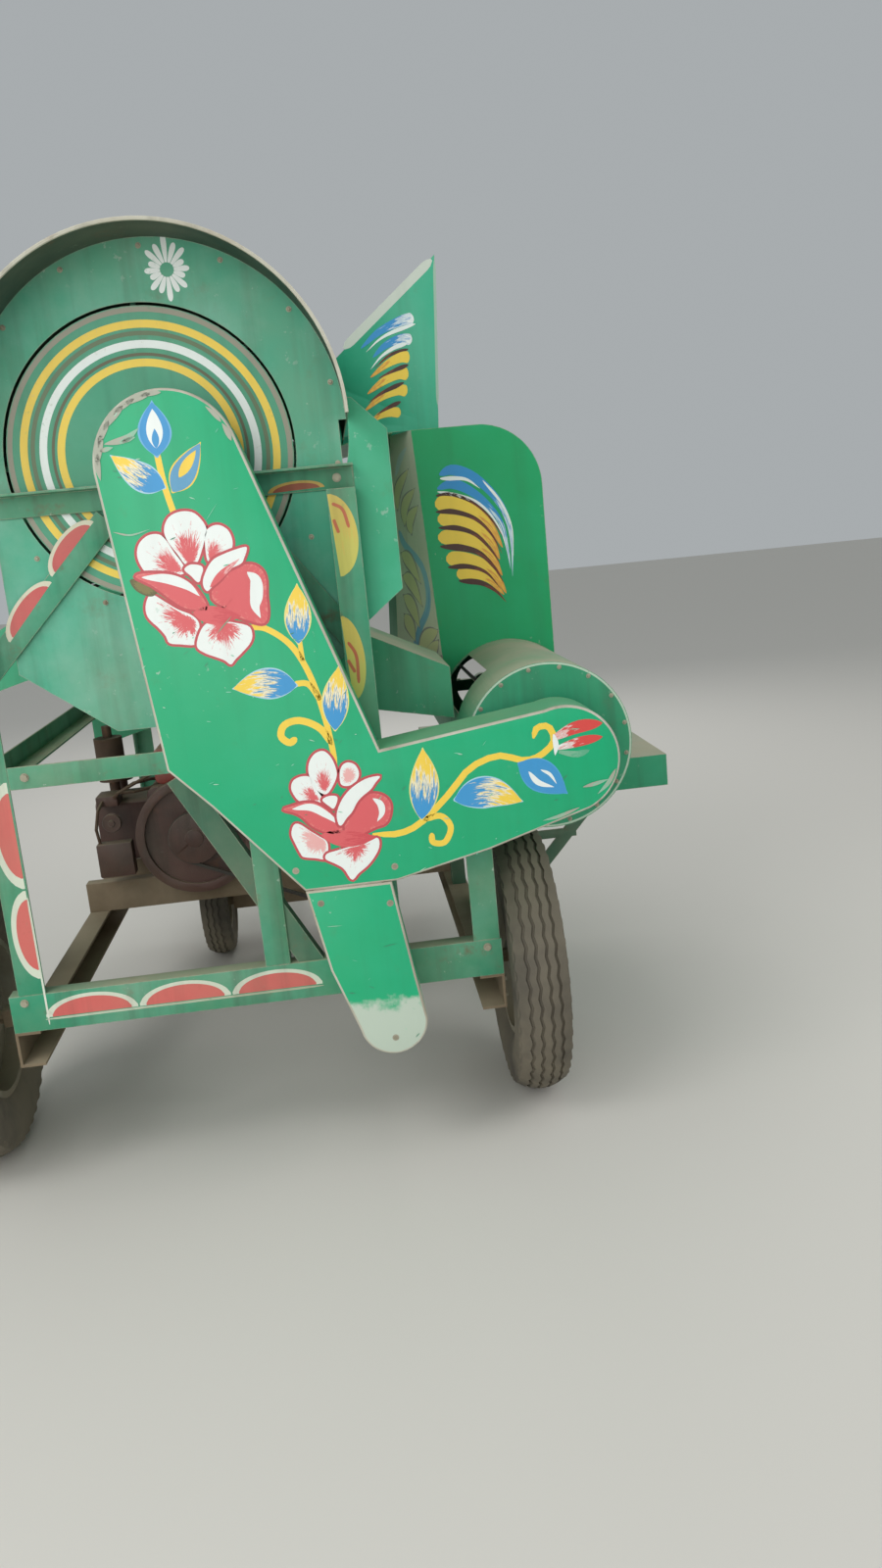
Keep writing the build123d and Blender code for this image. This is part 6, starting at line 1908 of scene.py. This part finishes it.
@dataclass(frozen=True)
class EndFrame:
    """The angle-steel end frames and braces with their painted scallops."""

    edge_round: float = 0.0012
    green_end: float = -1.42
    bracket_face: float = -1.429

    def build(self) -> Pieces:
        """Dresses the frame and paints its near faces.

        Returns:
            The frames' and the chassis's pieces.
        """
        green = Area(FRAME_ENAMEL, lambda f: f.calc_center_median().y < self.green_end)
        sides = Area(CASING_END, lambda f: f.normal.z < 0.7)
        return [
            *(dress_copy(node, f"{node}_steel", FRAME_ENAMEL, self.edge_round)
              for node in ("frame_posts", "frame_beams", "frame_braces", "longerons")),
            dress_copy("cross_members", "cross_members_steel", CHASSIS_PRIMER, self.edge_round,
                       (green,)),
            *(dress_copy(node, f"{node}_steel", CHASSIS_PRIMER, self.edge_round)
              for node in ("side_rails", "axle_sleeves", "near_axle", "turntable_plate")),
            dress_copy("platform_struts", "platform_struts_steel", BRACKET_ENAMEL,
                       self.edge_round),
            dress_copy("link_plate", "link_sheet", LINK_ENAMEL),
            dress_copy("platform_deck", "platform_plate", DECK_ENAMEL, 0.001, (sides,)),
            self._diagonal(), self._ornament(), self._bolts(),
        ]

    def _diagonal(self) -> Piece:
        """The angle-steel stay behind the guard, from the middle beam down to the cross member.

        Returns:
            The piece.
        """
        stay = Casting("end_frame_stay", "frame", BRACKET_ENAMEL, Slot.FRAME)
        top, foot = Vector((-0.262, -1.4735, 1.078)), Vector((0.022, -1.4735, 0.539))
        along = (foot - top).normalized()
        side = Vector((along.z, 0, -along.x))
        corners = ((0, 0), (0.060, 0), (0.060, 0.005), (0.005, 0.005), (0.005, 0.045), (0, 0.045))
        outline = [side * across + Vector((0, depth, 0)) for across, depth in corners]
        stay.rings([[end + corner for corner in outline] for end in (top, foot)])
        return stay.build()

    def _ornament(self) -> Piece:
        """The scallops on posts, beams and brace, each on its own face.

        Returns:
            The piece.
        """
        art = Painter("frame_scallops", "frame")
        red, border, brown, ochre, lime = "#D2605A", "#D5DDC9", "#C8623A", "#D6BE55", "#CFC75A"
        posts = facing_near(POST_LOW.y)
        for row in (ScallopRow((-0.700, 0.58), (-0.700, 0.82), 1, 0.052, red, border),
                    ScallopRow((-0.700, 0.82), (-0.700, 1.10), 1, 0.058, red, border),
                    ScallopRow((-0.706, 0.475), (0.012, 0.475), 3, 0.054, red, border, 0.86)):
            art.lay(posts, row.strokes())
        art.lay(posts, [
            Stroke(((0.162, 1.713), (0.173, 1.516)), 0.058, Form.SCALLOP, ochre, lime),
            line(((0.171, 1.691), (0.195, 1.674), (0.206, 1.630)), 0.008, brown, 2),
            line(((0.171, 1.653), (0.180, 1.620)), 0.008, brown, 2),
            Stroke(((0.162, 1.420), (0.172, 1.209)), 0.044, Form.SCALLOP, ochre, lime),
            line(((0.173, 1.356), (0.190, 1.319), (0.189, 1.251)), 0.008, brown, 2),
            line(((0.168, 1.312), (0.183, 1.279)), 0.008, brown, 2),
            line(((-0.6985, 0.455), (-0.6985, 0.800)), 0.005, "#DDE2D2", 3, "#C9D4C0"),
            line(((-0.706, 0.470), (0.012, 0.470)), 0.006, "#B9C9B0", 3, "#A9B79A"),
        ])
        brace = facing_near(BRACE_LOW.y)
        for start, end in (((-0.647, 1.433), (-0.523, 1.569)), ((-0.522, 1.580), (-0.402, 1.702))):
            art.lay(brace, ScallopRow(start, end, 1, 0.040, "#C95A58", "#D9D3BB", 0.84).strokes())
        art.lay(facing_near(self.bracket_face), [
            Stroke(((0.020, 1.729), (0.158, 1.733)), 0.022, Form.SCALLOP, "#C9A24C", "#C9A24C"),
            Stroke(((0.032, 1.729), (0.146, 1.733)), 0.016, Form.SCALLOP, "#9A4A2E", "#9A4A2E", layer=2),
        ])
        return art.finish(SCUFFED_PAINT)

    def _bolts(self) -> Piece:
        """Bolts where posts, beams and cross members meet, at both ends, and along the rails.

        Returns:
            The piece.
        """
        nodes = ("frame_posts", "frame_beams", "frame_braces", "cross_members", "side_rails",
                 "bearing_blocks", "platform_deck", "platform_struts")
        heads = Heads("frame_bolts", "frame", Sheet(*nodes), Slot.FRAME)
        for y, way in ((-1.60, -NEAR), (0.86, NEAR)):
            for x, z in ((-0.742, 1.690), (-0.742, 1.160), (-0.742, 1.130), (-0.655, 1.105), (0.125, 1.105),
                         (-0.720, 1.752), (0.190, 1.752)):
                heads.add(Vector((x, y, z)), way, 0.018, 0.25)
            for x in (-0.752, 0.196, 0.451):
                heads.add(Vector((x, y, 0.520)), way, 0.018, 0.25)
        for y in (-1.45, -0.455, -0.185, 0.115, 0.365, 0.695):
            for z in (0.372, 0.415):
                heads.add(Vector((0.60, y, z)), -RIGHT, 0.020, 0.2)
                heads.add(Vector((-0.90, y, z)), RIGHT, 0.020, 0.2)
        for low, high in self._block_feet():
            for x in (low.x + 0.012, high.x - 0.012):
                heads.add(Vector((x, (low.y + high.y) / 2, high.z + 0.05)), -UP, 0.014, 0.2)
        for x in (0.52, 0.78, 1.05):
            for y in (-0.62, 0.29):
                heads.add(Vector((x, y, 0.90)), -UP, 0.016, 0.2)
        return heads.build()

    def _block_feet(self) -> list[tuple[Vector, Vector]]:
        """Gives the bearing blocks that stand on their beams.

        Returns:
            The low and high corners of each block.
        """
        corners = (((0.567, -0.080, 0.992), (0.767, -0.036, 1.064)),
                   ((0.567, -1.460, 0.992), (0.767, -1.416, 1.064)),
                   ((-0.302, 0.672, 1.782), (-0.190, 0.716, 1.884)),
                   ((-0.302, -1.476, 1.782), (-0.190, -1.432, 1.884)))
        return [(Vector(low), Vector(high)) for low, high in corners]


@dataclass(frozen=True)
class HousingSheets:
    """The other sheet-metal housings: trough, fan, ducts, chutes and straw hood."""

    rivets: int = 16
    rivet_circle: float = 0.207
    rivet_width: float = 0.010
    line_radii: Point = (0.2135, 0.2185)

    def build(self) -> Pieces:
        """Dresses each housing in its own green.

        Returns:
            The housings' pieces.
        """
        end = Area(CASING_END, lambda f: f.normal.y < -0.9)
        pieces = [dress_copy("fan_casing", "fan_casing_sheet", CASING_ENAMEL, areas=(end,)),
                  dress_copy("grain_trough", "grain_trough_sheet", HOUSING_ENAMEL)]
        for node in ("air_duct", "grain_spout", "chaff_chute", "straw_hood"):
            pieces.append(dress_copy(node, f"{node}_sheet", CASING_ENAMEL))
        pieces.append(dress_copy("concave", "concave_rods", BARE_STEEL))
        middle = (CASING_LOW + CASING_HIGH) / 2
        art = Painter("fan_casing_line", "frame")
        art.ring(Vector((middle.x, CASING_LOW.y, middle.z)), *self.line_radii, "#BBD3BC", "#8FB79B", 1)
        return [*pieces, self._rivets(middle), art.finish()]

    def _rivets(self, middle: Vector) -> Piece:
        """Rivets round both ends of the fan casing and along the straw hood's top.

        Args:
            middle: The casing's middle.

        Returns:
            The piece.
        """
        heads = Heads("housing_rivets", "frame", Sheet("fan_casing", "chaff_chute", "straw_hood"), Slot.HOOD,
                      RIVET_HEAD)
        for k in range(self.rivets):
            angle = 2 * math.pi * (k + 0.5) / self.rivets
            x = middle.x + self.rivet_circle * math.cos(angle)
            z = middle.z + self.rivet_circle * math.sin(angle)
            heads.add(Vector((x, -1.55, z)), -NEAR, self.rivet_width, 0.2)
            heads.add(Vector((x, 0.1, z)), NEAR, self.rivet_width, 0.25)
        for y in (-0.415, 0.155):
            heads.row(Vector((-1.10, y, 1.70)), Vector((-0.72, y, 1.70)), 6, -UP, self.rivet_width)
        return heads.build()


@dataclass(frozen=True)
class Driveline:
    """Shafts, bearings, pulleys and belts."""

    shaft_round: float = 0.0006
    casting_round: float = 0.0015

    def build(self) -> Pieces:
        """Dresses the driveline.

        Returns:
            Its pieces.
        """
        return [
            *(dress_copy(node, f"{node}_steel", BARE_STEEL, self.shaft_round)
              for node in ("drum_shaft", "countershaft", "input_shaft", "fan_rotor")),
            dress_copy("bearing_blocks", "bearing_castings", FRAME_ENAMEL, self.casting_round),
            dress_copy("drive_belts", "drive_belt_loops", BELT_RUBBER),
        ]


@dataclass(frozen=True)
class Engine:
    """The single-cylinder engine: block, tank, exhaust and flywheel."""

    cast_round: float = 0.004
    flywheel_round: float = 0.002
    pipe_radius: float = 0.006
    nut_width: float = 0.017

    def build(self) -> Pieces:
        """Dresses the engine and adds its fittings.

        Returns:
            Its pieces.
        """
        return [
            dress_copy("engine_block", "engine_casting", CAST_ENGINE, self.cast_round),
            dress_copy("engine_tank", "engine_tank_shell", TANK_ENAMEL, self.cast_round),
            dress_copy("engine_exhaust", "engine_exhaust_pipe", EXHAUST_SCALE),
            dress_copy("engine_flywheel", "engine_flywheel_casting", CAST_ENGINE,
                       self.flywheel_round),
            self._fittings(),
            self._pipes(),
            self._bolts(),
        ]

    def _fittings(self) -> Piece:
        """The rocker cover and air cleaner on the head, a side box and a cap.

        Returns:
            The piece.
        """
        parts = Casting("engine_fittings", "frame", CAST_ENGINE, Slot.ENGINE)
        parts.box((-0.712, -0.492, 0.800), (-0.640, -0.392, 0.838), 0.006)
        parts.box((-0.720, -0.556, 0.575), (-0.604, -0.503, 0.690), 0.006)
        parts.turn([(0.0, 0.0), (0.0, 0.030), (0.005, 0.032), (0.007, 0.025), (0.015, 0.025), (0.017, 0.032),
                    (0.022, 0.030), (0.022, 0.012), (0.028, 0.010), (0.028, 0.0)],
                   Vector((-0.664, -0.503, 0.752)), NEAR, 20)
        parts.turn([(0.0, 0.0), (0.0, 0.020), (0.030, 0.020), (0.034, 0.040), (0.040, 0.044), (0.100, 0.044),
                    (0.108, 0.038), (0.114, 0.014), (0.122, 0.012), (0.122, 0.0)],
                   Vector((-0.672, -0.205, 0.803)), UP)
        return parts.build()

    def _pipes(self) -> Piece:
        """The fuel pipes from the tank and the injector's pipes.

        Returns:
            The piece.
        """
        pipes = Casting("engine_pipes", "frame", EXHAUST_SCALE, Slot.EXHAUST)
        paths = (((-0.490, -0.440, 0.862), (-0.530, -0.470, 0.848), (-0.580, -0.500, 0.846),
                  (-0.640, -0.470, 0.842)),
                 ((-0.640, -0.430, 0.836), (-0.600, -0.380, 0.852), (-0.545, -0.330, 0.852),
                  (-0.520, -0.300, 0.842)),
                 ((-0.708, -0.535, 0.685), (-0.712, -0.545, 0.740), (-0.700, -0.535, 0.800),
                  (-0.690, -0.490, 0.820)),
                 ((-0.505, -0.470, 0.900), (-0.560, -0.500, 0.880), (-0.630, -0.520, 0.850),
                  (-0.650, -0.490, 0.830)))
        for path in paths:
            pipes.tube([Vector(p) for p in path], self.pipe_radius)
        return pipes.build()

    def _bolts(self) -> Piece:
        """Nuts on the engine's head.

        Returns:
            The piece.
        """
        heads = Heads("engine_bolts", "frame", Sheet("engine_block", "engine_tank"), Slot.ENGINE)
        for y in (-0.50, -0.40, -0.25, -0.16):
            for z in (0.60, 0.76):
                heads.add(Vector((-0.85, y, z)), RIGHT, self.nut_width, 0.3)
        return heads.build()


@dataclass(frozen=True)
class RoadWheel:
    """One wheel: a moulded tyre with ribs between zigzag grooves, its rim, hub cap and nuts."""

    name: str
    grooves: tuple[float, ...]
    periods: int
    nuts: int
    nut_circle: float
    outside: int

    def build(self) -> Pieces:
        """Dresses the tyre and rim of this wheel."""
        return [self._tyre(),
                dress_copy(f"rim_{self.name}", f"rim_{self.name}_pressing", WHEEL_ENAMEL),
                self._hub(), self._nuts()]

    def _section(self, step: int, half: float, lip: float, crown: float) -> list[Point]:
        """Draws the tyre's outline at one step round it.

        Args:
            step: The step, four to a zigzag.
            half: Half the tyre's width.
            lip: The bead's radius.
            crown: The tread's radius.

        Returns:
            Places across the tyre with their radii, from the left bead over the tread.
        """
        drop_share = 0.32
        rim_half = 0.72 * half
        shoulder = crown - drop_share * half
        edge = half - 0.006
        depth = min(0.008, 0.06 * half + 0.003)
        notch = 0.004 if step % 4 in (2, 3) else 0.0
        middle = (lip + shoulder) / 2
        side = [(rim_half, lip), (rim_half + 0.003, lip + 0.008), (half - 0.009, lip + 0.028),
                (half - 0.001, middle), (half - 0.0045, shoulder - 0.016),
                (half - 0.0045 - notch, shoulder - 0.014), (edge - notch, shoulder)]
        points = [(-x, r) for x, r in side]
        sway = 0.003 * (0, 1, 0, -1)[step % 4]
        for groove in self.grooves:
            at = groove + sway
            for x, drop in ((at - 0.0045, 0.0), (at - 0.003, depth), (at + 0.003, depth), (at + 0.0045, 0.0)):
                points.append((x, crown - drop_share * half * (x / edge) ** 2 - drop))
        return points + [(x, r) for x, r in reversed(side)]

    def _tyre(self) -> Piece:
        """The tyre with its tread cut into it, in the node's place.

        Returns:
            The piece.
        """
        node = f"tyre_{self.name}"
        low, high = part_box(node)
        rim_low, rim_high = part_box(f"rim_{self.name}")
        centre = (low + high) / 2
        crown = (high.z - low.z) / 2
        lip = (rim_high.z - rim_low.z) / 2 - 0.0003
        tyre = Casting(f"{node}_rubber", body_of(frame["nodes"][node])[0], TYRE_RUBBER, Slot.TYRE)
        rings = []
        for k, angle in enumerate(angles(self.periods * 4)):
            out = Vector((0, math.cos(angle), math.sin(angle)))
            section = self._section(k, (high.x - low.x) / 2, lip, crown)
            rings.append([centre + Vector((x, 0, 0)) + out * r for x, r in section])
        tyre.rings(rings, closed=True)
        piece = tyre.build()
        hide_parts(node)
        return piece

    def _hub(self) -> Piece:
        """The pressed cap over the hub's end.

        Returns:
            The piece.
        """
        low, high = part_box(f"rim_{self.name}")
        middle = (low + high) / 2
        face = high.x if self.outside > 0 else low.x
        radius = self.nut_circle * 0.42
        cap = Casting(f"hub_cap_{self.name}", f"wheel_{self.name}", BOLT_STEEL, Slot.WHEEL)
        cap.turn([(-0.012, 0.0), (-0.012, radius), (-0.004, radius), (-0.0012, radius * 0.86),
                  (0.0, radius * 0.4), (0.0, 0.0)], Vector((face, middle.y, middle.z)), RIGHT * self.outside,
                 20)
        return cap.build()

    def _nuts(self) -> Piece:
        """The wheel nuts on the disc.

        Returns:
            The piece.
        """
        low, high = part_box(f"rim_{self.name}")
        middle = (low + high) / 2
        heads = Heads(f"wheel_nuts_{self.name}", f"wheel_{self.name}", Sheet(f"rim_{self.name}"), Slot.WHEEL)
        for angle in angles(self.nuts):
            spot = Vector((middle.x + 0.2 * self.outside, middle.y + self.nut_circle * math.cos(angle),
                           middle.z + self.nut_circle * math.sin(angle)))
            heads.add(spot, RIGHT * -self.outside, 0.020)
        return heads.build()


@dataclass(frozen=True)
class SteeredEnd:
    """The steered axle on its turntable, and the drawbar."""

    axle_round: float = 0.0012
    drawbar_round: float = 0.0015

    def build(self) -> Pieces:
        """Dresses the steered axle and the drawbar.

        Returns:
            Both pieces.
        """
        return [
            dress_copy("steered_axle", "steered_axle_steel", CHASSIS_PRIMER, self.axle_round),
            dress_copy("drawbar", "drawbar_steel", CHASSIS_PRIMER, self.drawbar_round),
        ]


@dataclass(frozen=True)
class Studio:
    """A pale floor, soft lamps and the camera at the photograph's place."""

    place: Corner = (0.1495, -4.4063, 1.6191)
    yaw: float = 4.296
    pitch: float = -12.430
    roll: float = 5.453
    lens: float = 27.0036
    sensor: float = 36.0
    aim_height: float = 1.0
    floor_half: float = 30.0
    sky: str = "#DDE3E6"
    sky_strength: float = 0.54

    def build(self) -> None:
        """Makes the floor, lamps, world and camera."""
        self._floor()
        for name, spot, size, power in (("key_lamp", (-3.4, -4.2, 5.4), 3.2, 118.0),
                                        ("front_lamp", (-1.7, -6.2, 2.3), 4.0, 112.0),
                                        ("fill_lamp", (4.6, -2.6, 3.6), 3.0, 62.0),
                                        ("rear_lamp", (0.5, 5.0, 4.4), 3.2, 96.0)):
            self._lamp(name, spot, size, power)
        world = bpy.data.worlds.new("plain_sky")
        bpy.context.scene.world = world
        world.use_nodes = True
        back = world.node_tree.nodes["Background"]
        back.inputs["Color"].default_value = linear(self.sky)
        back.inputs["Strength"].default_value = self.sky_strength
        bpy.context.scene.view_settings.view_transform = "Standard"
        self._camera()

    def _floor(self) -> None:
        """A wide pale floor."""
        mesh = bpy.data.meshes.new("studio_floor")
        half = self.floor_half
        mesh.from_pydata([(-half, -half, 0), (half, -half, 0), (half, half, 0), (-half, half, 0)], [],
                         [(0, 1, 2, 3)])
        floor = bpy.data.objects.new("studio_floor", mesh)
        bpy.context.scene.collection.objects.link(floor)
        material = bpy.data.materials.new("pale floor")
        material.use_nodes = True
        surface = material.node_tree.nodes["Principled BSDF"]
        surface.inputs["Base Color"].default_value = linear("#DAD6CE")
        surface.inputs["Roughness"].default_value = 0.9
        mesh.materials.append(material)

    def _lamp(self, name: str, spot: Corner, size: float, power: float) -> None:
        """A square area lamp that looks at the machine's middle.

        Args:
            name: Its name.
            spot: Its place.
            size: The length of its side.
            power: Its watts.
        """
        data = bpy.data.lights.new(name, "AREA")
        data.shape = "SQUARE"
        data.size = size
        data.energy = power
        lamp = bpy.data.objects.new(name, data)
        lamp.location = spot
        aim = UP * self.aim_height - Vector(spot)
        lamp.rotation_euler = aim.to_track_quat("-Z", "Y").to_euler()
        bpy.context.scene.collection.objects.link(lamp)

    def _camera(self) -> None:
        """The photograph's camera, from its yaw, pitch and roll."""
        yaw, pitch, roll = (math.radians(a) for a in (self.yaw, self.pitch, self.roll))
        forward = Vector((math.sin(yaw) * math.cos(pitch), math.cos(yaw) * math.cos(pitch), math.sin(pitch)))
        right = Vector((math.cos(yaw), -math.sin(yaw), 0))
        up = right.cross(forward)
        side = right * math.cos(roll) - up * math.sin(roll)
        top = up * math.cos(roll) + right * math.sin(roll)
        data = bpy.data.cameras.new("photo_camera")
        data.lens = self.lens
        data.sensor_width = self.sensor
        data.sensor_fit = "AUTO"
        camera = bpy.data.objects.new("photo_camera", data)
        turn = Matrix((side, top, -forward)).transposed().to_4x4()
        camera.matrix_world = Matrix.Translation(Vector(self.place)) @ turn
        bpy.context.scene.collection.objects.link(camera)
        bpy.context.scene.camera = camera


def main() -> None:
    """Builds the sub-assemblies in order and reports each piece."""
    logging.basicConfig(level=logging.INFO, format="%(name)s: %(message)s")
    near = ((-0.040, -0.014, 0.014, 0.040), 44, 6, 0.060)
    far = ((-0.022, 0.0, 0.022), 30, 4, 0.042)
    wheels = [RoadWheel("near_left", *near, -1), RoadWheel("near_right", *near, 1),
              RoadWheel("far_left", *far, -1), RoadWheel("far_right", *far, 1)]
    for part in (BeltGuard(), DrumEnd(), FeedSide(), EndFrame(), HousingSheets(), Driveline(), Engine(),
                 *wheels, SteeredEnd()):
        for piece in part.build():
            LOG.info("%s: %s, %d faces", type(part).__name__, piece.name, len(piece.data.polygons))
    Studio().build()


if __name__ == "__main__":
    main()
